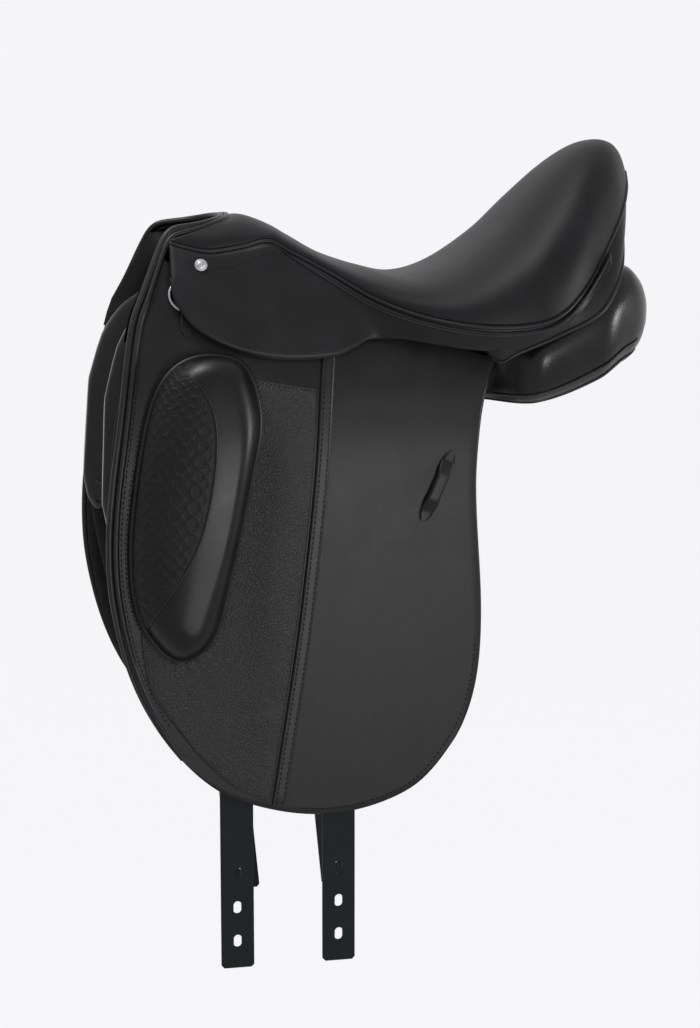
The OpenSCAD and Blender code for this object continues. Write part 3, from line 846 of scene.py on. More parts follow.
@dataclass(frozen=True)
class Woven(Finish):
    """Plain woven webbing or lining."""

    thread: float = 1.2

    def make(self, board: Board) -> bpy.types.Material:
        """Crossing threads from two waves.

        Args:
            board: the empty tree of its material.

        Returns:
            The material.
        """
        warp, weft = (
            board.node("ShaderNodeTexWave", {"wave_type": "BANDS", "bands_direction": axis},
                       {"Vector": board.place(1 / self.thread), "Scale": 0.32, "Distortion": 0.4})
            for axis in ("X", "Z"))
        weave = warp * 0.5 + weft * 0.5
        fluff = board.noise(2.5, 4.0)
        return board.finish({"Specular IOR Level": 0.2},
                            {"Base Color": board.mix(weave * 0.7 + fluff * 0.3, self.shade(0.5), self.colour),
                             "Roughness": fluff * 0.15 + 0.78, "Normal": board.bump(weave, 0.3)})


@dataclass(frozen=True)
class Backdrop(Finish):
    """Pale studio surface that shows its own colour to the camera and keeps shadows."""

    glow: float = 0.96
    lift: float = 1.03

    def make(self, board: Board) -> bpy.types.Material:
        """Mixes a matt surface with a plain glow that only the camera, mirrors and glass see.

        Args:
            board: the empty tree of its material.

        Returns:
            The material.
        """
        matt = board.node("ShaderNodeBsdfDiffuse", None, {"Color": (*self.colour, 1.0)})
        shown = (*self.shade(self.lift), 1.0)
        glow = board.node("ShaderNodeEmission", None, {"Color": shown, "Strength": 1.0})
        board.surface(board.node("ShaderNodeMixShader", None,
                                 {0: board.seen() * self.glow, 1: matt, 2: glow}))
        return board.material

    def world(self, light: float) -> bpy.types.World:
        """A world of this colour that lights the object at a lower level.

        Args:
            light: share of the colour that lights the object.

        Returns:
            The world.
        """
        made = bpy.data.worlds.new(self.name)
        board = Board(made, "ShaderNodeOutputWorld")
        shown = (*self.colour, 1.0)
        dim, full = (board.node("ShaderNodeBackground", None, {"Color": shown, "Strength": level})
                     for level in (light, 1.0))
        board.surface(board.node("ShaderNodeMixShader", None, {0: board.seen(), 1: dim, 2: full}))
        return made


class Finishes:
    """All finishes of the saddle, named for where they are used."""

    hide = Leather("smooth_hide", (0.0095, 0.0095, 0.0103), rough=0.33, grain=1.0, depth=0.06, shine=0.15)
    seat = Leather("seat_calf", (0.0092, 0.0092, 0.01), rough=0.42, grain=0.8, depth=0.04, shine=0.11)
    grained = Leather("pebbled_hide", (0.0095, 0.0095, 0.0103),
                      rough=0.44, grain=1.2, depth=0.36, pebble=2.9, shine=0.26)
    rolled = Leather("rolled_binding", (0.0095, 0.0095, 0.0103), rough=0.33, grain=0.9, depth=0.06, shine=0.2)
    block = Leather("block_hide", (0.0042, 0.0042, 0.0046), rough=0.3, grain=1.0, depth=0.04, shine=0.17)
    inlay = Leather("embossed_inlay", (0.0095, 0.0095, 0.0102), rough=0.46, grain=0.9, depth=0.06, shine=0.13)
    # Hide darkened to a painted shade, for the pommel's facing and the cantle's lining, which lie in shade.
    shaded = Leather("shade_darkened_hide", (0.0038, 0.0038, 0.0042), rough=0.5, grain=1.0, depth=0.04, shine=0.06)
    panel = Leather("panel_hide", (0.005, 0.005, 0.0055), rough=0.24, grain=1.0, depth=0.04, shine=0.21)
    strap = Leather("strap_hide", (0.006, 0.0085, 0.0079), rough=0.55, grain=0.8, depth=0.06, shine=0.1)
    thread = ThreadFinish("black_thread", (0.004, 0.004, 0.0042))
    waxed = ThreadFinish("grey_thread", (0.13, 0.13, 0.13))
    bright = Metal("nickel_plate", (0.34, 0.34, 0.35), rough=0.46, scratch=0.08)
    steel = Metal("ground_steel", (0.42, 0.42, 0.43), rough=0.34, scratch=0.2)
    beech = Wood("beech_laminate", (0.46, 0.30, 0.15))
    webbing = Woven("natural_webbing", (0.52, 0.47, 0.37))
    lining = Woven("black_lining", (0.03, 0.03, 0.031), thread=0.9)
    studio = Backdrop("studio_paper", (0.913, 0.913, 0.93))


# Stuffing, mirroring and fitting


STUFFING = {"quality": 4, "mass": 0.3, "tension_stiffness": 25, "compression_stiffness": 25,
            "shear_stiffness": 12, "bending_stiffness": 1.5, "use_pressure": True}
EVENING_STEPS = 14


def inflate(obj: bpy.types.Object, held: Points, pressure: float, cap: float, frames: int = 16) -> None:
    """Stuffs a closed piece with Blender's cloth and keeps the swollen mesh.

    Args:
        obj: the piece, in metres.
        held: True for the points that its seams hold.
        pressure: pressure of the stuffing.
        cap: furthest that a point may move, in millimetres.
        frames: steps of the simulation.
    """
    scene = bpy.context.scene
    group = obj.vertex_groups.new(name="seams")
    group.add([int(k) for k in np.nonzero(held)[0]], 1.0, "REPLACE")
    cloth = obj.modifiers.new("stuffing", "CLOTH")
    for key, setting in STUFFING.items():
        setattr(cloth.settings, key, setting)
    cloth.settings.uniform_pressure_force = pressure
    cloth.settings.vertex_group_mass = group.name
    cloth.settings.effector_weights.gravity = 0
    cloth.collision_settings.use_collision = False
    cloth.point_cache.frame_start = 1
    cloth.point_cache.frame_end = frames
    for step in range(1, frames + 1):
        scene.frame_set(step)
    swollen = obj.evaluated_get(bpy.context.evaluated_depsgraph_get()).data
    count = len(obj.data.vertices)
    rest, moved = np.zeros(count * 3), np.zeros(count * 3)
    obj.data.vertices.foreach_get("co", rest)
    swollen.vertices.foreach_get("co", moved)
    out, edges = np.zeros(count * 3), np.zeros(len(obj.data.edges) * 2, int)
    obj.data.vertices.foreach_get("normal", out)
    obj.data.edges.foreach_get("vertices", edges)
    out, ends = out.reshape(-1, 3), edges.reshape(-1, 2)
    swell = np.clip(((moved - rest).reshape(-1, 3) * out).sum(1) / MM, -0.2 * cap, cap)
    links = np.maximum(np.bincount(edges, minlength=count), 1)
    for _ in range(EVENING_STEPS):
        total = (np.bincount(ends[:, 0], swell[ends[:, 1]], count)
                 + np.bincount(ends[:, 1], swell[ends[:, 0]], count))
        swell = np.where(held, 0.0, total / links)
    obj.modifiers.remove(cloth)
    obj.vertex_groups.remove(group)
    scene.frame_set(1)
    obj.data.vertices.foreach_set("co", (rest.reshape(-1, 3) + out * swell[:, None] * MM).ravel())
    obj.data.update()
    LOG.info("%s swelled by up to %.1f mm", obj.name, float(swell.max()))


def mirrored_copy(obj: bpy.types.Object, name: str) -> bpy.types.Object:
    """Mirror image of a near side piece for the off side.

    Args:
        obj: the near side piece.
        name: name of the copy.

    Returns:
        The copy, which rides on nothing yet.
    """
    copy = bpy.data.objects.new(name, obj.data.copy())
    copy.data.name = name
    bpy.context.scene.collection.objects.link(copy)
    copy.data.transform(Matrix.Scale(-1, 4, Vector((0, 1, 0))))
    copy.data.flip_normals()
    return copy


def fit(piece: bpy.types.Object, body: str, slot: str, *nodes: str) -> None:
    """Hangs a piece on the body that it rides on and hides the solids that it stands for.

    Args:
        piece: the piece.
        body: the body that it rides on.
        slot: not used.
        nodes: the solids that it stands for.
    """
    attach(piece, body)
    if nodes:
        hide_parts(*nodes)


def bend(piece: bpy.types.Object, side: Side, spot: Points, across: Points, span: float) -> None:
    """Bakes a piece's placement into its mesh; the ends of a bend across the fold are worked out, but nothing
    bends.

    Args:
        piece: the piece.
        side: its side.
        spot: a point on the near side's fold.
        across: direction across that fold.
        span: half the width of the bend.
    """
    down = unit(across)
    down *= -np.sign(down[2])
    start, end = ((spot + k * span * down) * side.mirror * MM for k in (-1, 1))
    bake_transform(piece)


def sheet(edges: Sequence[Curve], counts: tuple[int, int], size: tuple[float, float], rim: float,
          middle: float, thick: float) -> Shape:
    """Leather that follows the saddle's side, with a rounded rim.

    Args:
        edges: its top, foot, front and rear.
        counts: numbers of points across and down.
        size: about how wide and how high it is.
        rim: radius of its rim.
        middle: height of its middle over the side.
        thick: its thickness.

    Returns:
        The leather.
    """
    u, v = (shares(count, length, rim) for count, length in zip(counts, size))
    grid = patch(*edges, u, v)
    half = thick / 2 * rounding(u, v, *size, rim)
    return slab(Lay.place(grid, middle + half), Lay.place(grid, middle - half))


# Sub-assemblies


@dataclass
class Seat:
    """Seat cushion with its welt, from the pommel to the cantle."""

    rim: Points
    crest: Points
    thick: float = 16.3
    shoulder: float = 12.0
    fall: float = 8.0
    welt: float = 2.0
    gap: float = 0.8
    valance: float = 14.5
    size: tuple[float, float] = (440.0, 300.0)
    soft: float = 9.0
    seams: tuple[float, float] = (0.93, 0.97)

    def points(self, t: Points, s: Points, lift: float = 0.0) -> Points:
        """Grid on the seat.

        Args:
            t: shares from pommel to cantle.
            s: shares from 1 on the off edge to -1 on the near edge.
            lift: distance above the seat.

        Returns:
            Grid with a row for each s and a column for each t.
        """
        t, s = np.broadcast_arrays(t[None, :], s[:, None])
        edge, middle = paced(self.rim, t), paced(self.crest, t)
        a = np.minimum(np.abs(s), 1) * np.pi / 2
        rise = np.maximum(np.cos(a), 0)[..., None] ** 0.8
        side = np.sign(s) * np.sin(a) ** 0.85
        grid = edge + (middle - edge) * rise
        grid[..., 1] = edge[..., 1] * side
        return grid + lift * normals(grid) if lift else grid

    def front(self, s: Points, ahead: float) -> Points:
        """Points in front of the pommel's edge.

        Args:
            s: shares across the edge.
            ahead: distance in front of it.

        Returns:
            One point for each share.
        """
        grid = self.points(np.array([0.0, 0.03]), s)
        edge = unit(self.points(np.array([0.0]), s + 0.04) - self.points(np.array([0.0]), s - 0.04))[:, 0]
        d = grid[:, 0] - grid[:, 1]
        reach = ahead + self.shoulder * np.abs(s) ** 3
        fall = np.array([[0, 0, self.fall]]) * np.abs(s)[:, None] ** 3
        return grid[:, 0] + reach[:, None] * unit(d - edge * (d * edge).sum(1, keepdims=True)) - fall

    def edge(self, t: Points, drop: float, out: float = 0.0) -> Points:
        """The near edge, dropped and moved outwards.

        Args:
            t: shares from pommel to cantle.
            drop: distance down.
            out: distance outwards.

        Returns:
            One point for each share.
        """
        line = paced(self.rim, t) * MIRROR
        run = paced(self.rim, t + 0.004) - paced(self.rim, t - 0.004)
        away = unit(np.stack([-run[:, 1], -run[:, 0], 0 * run[:, 0]], 1))
        return line - [0, 0, drop] + out * away

    def round_edge(self, drop: float, out: float = 0.0) -> Points:
        """The edge from the near side round the cantle to the off side."""
        near = self.edge(np.linspace(0, 1, 130), drop, out)
        return np.concatenate([near, near[::-1] * MIRROR])

    def build(self) -> None:
        """Makes the cushion, its welt and the band below it."""
        t = np.linspace(0, 1, 120)
        s = np.concatenate([[1, 0.995, 0.985], np.linspace(0.965, -0.965, 57), [-0.985, -0.995, -1]])
        top = self.points(t, s)
        full = rounding(t, np.linspace(0, 1, len(s)), *self.size, self.soft)[..., None]
        body = top - normals(top) * self.thick * np.maximum(full, 0.3)
        cushion = slab(top, body).piece("seat", Finishes.seat)
        held = np.ones(len(cushion.data.vertices), bool)
        side, rear = self.seams
        inner = (np.abs(np.repeat(s, len(t))) < side) & (np.tile((t > 1 - rear) & (t < rear), len(s)))
        held[:len(inner)] = ~inner
        inflate(cushion, held, pressure=3.0, cap=1.4)
        fit(cushion, SADDLE, "seat_leather", "seat_cover", "seat_foam")
        welt = tube(self.round_edge(self.welt + self.gap), self.welt, 12)
        fit(welt.piece("seat_welt_roll", Finishes.rolled), SADDLE, "binding_leather", "seat_welt")
        drops = self.valance * np.linspace(0, 1, 5) - 0.5
        outer, inner = (np.array([self.round_edge(drop, out) for drop in drops]) for out in (-0.6, -2.2))
        fit(slab(outer, inner).piece("seat_valance", Finishes.rolled), SADDLE, "binding_leather")


@dataclass
class Pommel:
    """Facing that lines the pommel's arch, from the binding back under the tree's head."""

    seat: Seat
    flap: "Flap"
    depth: float = 34.0
    thick: float = 1.5
    places: tuple[float, ...] = (0.015, 0.07, 0.14)
    feet: tuple[tuple[float, float, float], ...] = ((-280, -58, 6), (-252, -48, 22), (-218, -40, 36))

    def build(self) -> None:
        """Makes the facing across both sides and its stitches."""
        s = np.linspace(-1, 1, 41)
        lip = self.seat.front(s, 1.5) - [0, 0, 2.5]
        inner = [self.seat.points(np.array([t, t + 0.01]), -s, -self.depth)[::-1, 0] for t in self.places]
        drops = np.linspace(0.25, 1, 5)[::-1, None]
        sides = [Lay.place(inset(self.flap.front.at(0.02 + 0.15 * drops[:, 0]), 4.5), -5.2)]
        sides += [line[0] + (np.array(foot) - line[0]) * drops for line, foot in zip(inner, self.feet)]
        rows = np.array([np.concatenate([side, line, side[::-1] * MIRROR])
                         for side, line in zip(sides, [lip, *inner])])
        grid = paced(rows, np.linspace(0, 1, 16))
        facing = slab(grid, grid - normals(grid) * self.thick)
        # The facing's finish is hide darkened as painted shade.
        fit(facing.piece("pommel_facing", Finishes.shaded), SADDLE, "black_leather")
        seam = paced(rows, np.array([0.3]))[0]
        stitches = Thread().seam(seam, unit(seam * [0, -1, -1]))
        fit(stitches.piece("pommel_stitches", Finishes.thread), SADDLE, "binding_leather")


@dataclass
class Flap:
    """A flap from the tree to its foot, with what is sewn to its face."""

    seat: Seat
    thick: float = 5.0
    drop: float = 461.0
    layer: float = 0.8
    grain: float = 2.0
    strip: float = 13.0
    fold: tuple[float, float] = (-203.0, -13.5)
    fold_axis: tuple[float, float, float] = (-1.0, 0.1, 0.36)
    fold_span: float = 11.0
    size: tuple[float, float] = (320.0, 480.0)
    rim: float = 3.0
    grain_size: tuple[float, float] = (160.0, 380.0)
    grain_rim: float = 7.0
    puff: float = 18.0
    swell: float = 2.6
    front_seam: float = 10.6
    edge_seam: float = 6.0
    crease_at: tuple[float, float] = (-245.0, -275.0)
    crease_depth: float = 0.55
    crease_reach: float = 24.0

    def __post_init__(self) -> None:
        """Works out the edge curves from the drop."""
        d = self.drop
        self.top = Curve([[-258, 76], [-238, 62], [-217, 28], [-188, 5], [-125, 4], [-60, 4], [0, -6],
                          [60, -23]])
        edge = Curve([[-258, 76], [-272, 46], [-286, 16.4], [-300, -65], [-314, -170], [-312, 216 - d],
                      [-290, 129 - d], [-250, 62 - d], [-200, 21 - d], [-110, -d], [-28, 20 - d],
                      [18, 70 - d], [37.5, 121 - d], [43, -270], [37, -150], [39.5, -101], [46.5, -60],
                      [60, -23]])
        self.front, self.foot, self.rear = edge.part(0, 7), edge.part(7, 11), edge.part(17, 11)
        self.grain_edges = (
            Curve([[-250, -40], [-190, -37], [-117.5, -48]]),
            Curve([[-236, 68 - d], [-204, 36 - d], [-166, 15 - d]]),
            Curve([[-250, -40], [-268, -72], [-283, -125], [-290, -195], [-288, -255], [-285, -300],
                   [-276, 126 - d], [-236, 68 - d]]),
            Curve([[-117.5, -48], [-124, -142], [-140, -281], [-166, 15 - d]]))
        self.strip_line = Curve([[-110, -12], [-114.5, -54], [-122, -142], [-138, -281], [-164, 13 - d]])

    def bend(self, obj: bpy.types.Object, side: Side) -> None:
        """Bakes the placement of a piece that crosses the fold between the tree and the flap; nothing bends.

        Args:
            obj: the piece.
            side: the flap's side.
        """
        spot = Lay.place(np.array(self.fold), -self.thick / 2)
        across = np.cross(unit(np.array(self.fold_axis)), Lay.normal(np.array(self.fold)))
        bend(obj, side, spot, across, self.fold_span)

    def leather(self) -> Shape:
        """The flap itself, with a rounded rim."""
        edges = (self.top, self.foot, self.front, self.rear)
        return sheet(edges, (44, 70), self.size, self.rim, -self.thick / 2, self.thick)

    def roll(self, inward: float, lift: float, ahead: float, radius: float) -> Shape:
        """A roll from the pommel's middle down the front edge.

        Args:
            inward: distance in from the flap's edge.
            lift: height over the flap's face.
            ahead: distance in front of the pommel's edge.
            radius: its radius at the top.

        Returns:
            The roll.
        """
        arch = self.seat.front(-np.array([0.0, 0.2, 0.4, 0.6, 0.78, 0.9, 0.97]), ahead)
        leg = Lay.place(inset(self.front.at(np.linspace(0.09, 1.0, 48)), inward), lift)
        u = np.linspace(0, 1, 180)
        path = Curve(np.concatenate([arch, leg])).at(u)
        for _ in range(12):
            path[1:-1] += 0.25 * (path[:-2] + path[2:]) - 0.5 * path[1:-1]
        return tube(path, radius * (1 - 0.8 * smooth((u - 0.7) / 0.3)), 12)

    def binding(self) -> Shape:
        """Two rolled strips over the pommel and down the front edge."""
        edge = self.roll(inward=-0.4, lift=-1.4, ahead=6.4, radius=3.4)
        return edge.joined(self.roll(inward=5.6, lift=0.5, ahead=0.6, radius=3.0))

    def stitching(self) -> Shape:
        """Rows of stitches that are sewn through the flap's own leather.

        Returns:
            The stitches.
        """
        thread = Thread()
        front = inset(even(self.front, 140, 0.06, 0.93), self.front_seam)
        foot = inset(even(self.foot, 90, 0.42, 1.0), self.edge_seam)
        rear = inset(even(self.rear, 60, 0.74, 1.0)[::-1], self.edge_seam)
        return lay_seam(thread, front, 0.1).joined(lay_seam(thread, foot, 0.1), lay_seam(thread, rear, 0.1))

    def creases(self, p: Points) -> Points:
        """Creases that fan out below the block.

        Args:
            p: array of [x, z].

        Returns:
            Their height at each point, mostly below 0.
        """
        d = p - np.array(self.crease_at)
        far = np.hypot(d[..., 0], d[..., 1])
        turn = np.arctan2(-d[..., 1], d[..., 0])
        fan = smooth((turn - 0.1) / 0.5) * smooth((2.6 - turn) / 0.6)
        wave = np.cos(13 * turn + 1.6 * np.sin(4 * turn) + far / 30)
        fade = np.exp(-np.maximum(far - self.crease_reach, 0) / self.crease_reach)
        return self.crease_depth * fan * fade * np.minimum(wave, 0.3)

    def grained(self) -> Shape:
        """The puffed grained leather on the front, swelled along its rear seam.

        Returns:
            The leather.
        """
        u, v = (shares(count, length, self.grain_rim) for count, length in zip((90, 190), self.grain_size))
        grid = patch(*self.grain_edges, u, v)
        puff = rounding(u, v, *self.grain_size, self.puff)
        ridge = self.swell * np.exp(-((u - 0.82) / 0.11) ** 2)
        swell = ridge[None] * (smooth(v / 0.2) * smooth((1 - v) / 0.5))[:, None]
        lift = self.layer + (self.grain + 0.6 + swell + self.creases(grid)) * puff
        return slab(Lay.place(grid, lift), Lay.place(grid, 0.25 + 0 * puff))

    def welt_strip(self) -> Shape:
        """The strip that covers the seam behind the grained leather.

        Returns:
            The strip.
        """
        u, v = shares(10, self.strip, 2.0), shares(90, self.strip_line.length, 2.0)
        line = self.strip_line.at(v)[:, None]
        grid = line + np.stack([u * self.strip, 0 * u], 1)[None]
        crown = rounding(u, v, self.strip, self.strip_line.length, 3.0)
        roll = 0.9 * np.exp(-((u - 0.1) / 0.1) ** 2)[None]
        lift = self.layer + (self.grain + roll) * crown
        return slab(Lay.place(grid, lift), Lay.place(grid, 0.3 + 0 * crown))

    def trim_stitching(self) -> Shape:
        """Stitches along the strip and the grained leather's upper seam.

        Returns:
            The stitches.
        """
        thread = Thread()
        line = even(self.strip_line, 120)
        lift = self.layer + self.grain
        rows = [lay_seam(thread, line + [k, 0], lift) for k in (4.2, self.strip - 2.6)]
        seam = even(self.grain_edges[0], 60, 0.5, 0.97) - [0, 3.0]
        return rows[0].joined(rows[1], lay_seam(Thread(2.4, 1.6, 0.4), seam, self.layer + 1.2))

    def build(self, side: Side) -> None:
        """Makes the pieces of one side's flap.

        Args:
            side: which flap.
        """
        arch = ["pommel_binding"] if side is Side.NEAR else []
        flap, head, strip, grain = (
            side.named(node) for node in ("flap", "flap_head", "flap_strip", "flap_grain"))
        for name, shape, finish, slot, nodes in (
                ("flap_leather", self.leather(), Finishes.hide, "black_leather", [flap, head]),
                ("flap_binding", self.binding(), Finishes.rolled, "binding_leather", arch),
                ("flap_stitches", self.stitching(), Finishes.thread, "binding_leather", []),
                ("welt_strip", self.welt_strip(), Finishes.rolled, "binding_leather", [strip]),
                ("trim_stitches", self.trim_stitching(), Finishes.thread, "binding_leather", [])):
            piece = shape.on(side).piece(side.named(name), finish)
            if nodes:
                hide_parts(*nodes)
            self.bend(piece, side)
        grained = self.grained().on(side).piece(side.named("grained_front"), Finishes.grained)
        fit(grained, flap, "grained_leather", grain)


@dataclass
class Block:
    """Thigh block with its piped foot and its embossed inlay."""

    foot: Points
    ridge: Points
    base: float = 3.6
    rise: float = 40.0
    span: tuple[float, float] = (0.4, 0.075)
    low: float = 0.14
    peak: float = 0.19
    ridge_top: float = -40.0
    ridge_drop: float = 225.0
    sides: int = 72
    rows: int = 22
    inlay_size: tuple[float, float] = (240.0, 70.0)
    inlay_length: float = 262.0
    carving: float = 0.8
    trellis: float = 12.0
    ripple: float = 17.0
    gather: float = 0.86
    roll: float = 3.0
    seam_roll: float = 1.0
    seam_space: float = 4.6

    def spine(self, foot: Points) -> Points:
        """Points of the ridge level with points of the foot."""
        return Curve(self.ridge).at(np.clip((self.ridge_top - foot[..., 1]) / self.ridge_drop, 0, 1))

    def points(self, u: Points, v: Points) -> Points:
        """Points on the block.

        Args:
            u: shares round its foot.
            v: shares from 0 at the foot to 1 on the ridge.

        Returns:
            One point for each pair.
        """
        u, v = np.broadcast_arrays(u, v)
        f = ring_curve(self.foot, u)
        r = self.spine(f)
        flat = r + (f - r) * (1 - self.gather * v * v)[..., None]
        return Lay.place(flat, self.base + self.rise * np.sin(np.pi / 2 * v))

    def seam(self, u: Points) -> Points:
        """Share of the rise at which the inlay's seam runs."""
        d = u - self.peak
        return 0.96 - np.where(d > 0, 0.55 * np.abs(d / 0.2) ** 4, 0.6 * np.abs(d / 0.112) ** 3)

    def dome(self) -> Shape:
        """The stuffed dome, closed below.

        Returns:
            Its shape, from the ridge down to the foot and in under it.
        """
        u = np.arange(self.sides) / self.sides
        rise = np.concatenate([np.linspace(1, 0.06, self.rows), [0.03, 0.0]])
        rings = [self.points(u, np.full(self.sides, v)) for v in rise]
        f = ring_curve(self.foot, u)
        r = self.spine(f)
        rings += [Lay.place(r + (f - r) * k, self.base) for k in (0.7, 0.35)]
        return loft(np.array(rings))

    def relief(self, along: Points, across: Points) -> Points:
        """Height of the embossed trellis of leaves.

        Args:
            along: millimetres along the inlay.
            across: millimetres across it.

        Returns:
            Heights from 0 to 1.
        """
        a, b = (along + across) / self.trellis, (along - across) / self.trellis
        wave = 0.14 * np.sin(2 * np.pi * across / self.ripple)
        lines = np.maximum(np.cos(2 * np.pi * (a + wave)), np.cos(2 * np.pi * (b - wave)))
        x, y = (a + 0.5) % 1 - 0.5, (b + 0.5) % 1 - 0.5
        leaf = 1 - np.hypot((x + y) / 0.22, (x - y) / 0.5)
        rib = np.abs(x + y) < 0.035
        return np.maximum(smooth((lines - 0.93) / 0.06), smooth(leaf / 0.25) * np.where(rib, 0.45, 1.0))

    def inlay(self) -> Shape:
        """The inlay on the front slope, up to its seam.

        Returns:
            The inlay with its relief.
        """
        w, v = (shares(count, length, 2.0) for count, length in zip((250, 96), self.inlay_size))
        u = self.span[0] + (self.span[1] - self.span[0]) * w
        reach = self.low + (self.seam(u)[None, :] - self.low) * v[:, None]
        grid = self.points(u[None, :], reach)
        out = normals(grid)
        out = out * np.sign(-out[..., 1:2])
        rim = rounding(w, v, *self.inlay_size, 3.0)
        steps = np.linalg.norm(np.diff(grid, axis=0), axis=2)
        across = np.concatenate([np.zeros((1, len(u))), np.cumsum(steps, 0)])
        along = np.broadcast_to(w[None, :] * self.inlay_length, across.shape)
        lift = 0.3 + 1.0 * rim + self.carving * self.relief(along, across) * smooth((rim - 0.9) / 0.1)
        return slab(grid + out * lift[..., None], grid + out * 0.2)

    def piping(self) -> Shape:
        """Rolls round the foot and along the inlay's seam.

        Returns:
            Both rolls.
        """
        u = np.linspace(0, 1, 140, endpoint=False)
        foot = self.points(u, np.full(140, 0.02)) - Lay.normal(ring_curve(self.foot, u)) * 0.8
        along = np.linspace(self.span[0] - 0.004, self.span[1] + 0.004, 110)
        seam = self.points(along, self.seam(along)) + np.array([0.3, -1.0, 0.0])
        return tube(foot, self.roll, 10, True).joined(tube(seam, self.seam_roll, 8))

    def stitches(self) -> Shape:
        """Stitches on the flap outside the piping.

        Returns:
            The stitches.
        """
        outer = ring_curve(self.foot, np.linspace(0, 1, 160))
        run = unit(np.gradient(outer, axis=0))
        outside = outer + self.seam_space * np.stack([run[:, 1], -run[:, 0]], 1)
        return lay_seam(Thread(3.0, 1.6, 0.55), outside, 3.0)

    def build(self) -> None:
        """Makes both blocks."""
        near = self.dome().piece("near_thigh_block", Finishes.block)
        held = np.zeros(len(near.data.vertices), bool)
        held[self.sides * (self.rows - 1):] = True
        inflate(near, held, pressure=3.0, cap=2.5)
        for side in Side:
            dome = near if side is Side.NEAR else mirrored_copy(near, "off_thigh_block")
            body, block, inlay = (side.named(node) for node in ("flap", "block", "block_inlay"))
            fit(dome, body, "black_leather", block)
            for name, shape, finish, slot, nodes in (
                    ("block_inlay_leather", self.inlay(), Finishes.inlay, "inlay_leather", [inlay]),
                    ("block_piping", self.piping(), Finishes.rolled, "binding_leather", []),
                    ("block_stitches", self.stitches(), Finishes.thread, "binding_leather", [])):
                fit(shape.on(side).piece(side.named(name), finish), body, slot, *nodes)


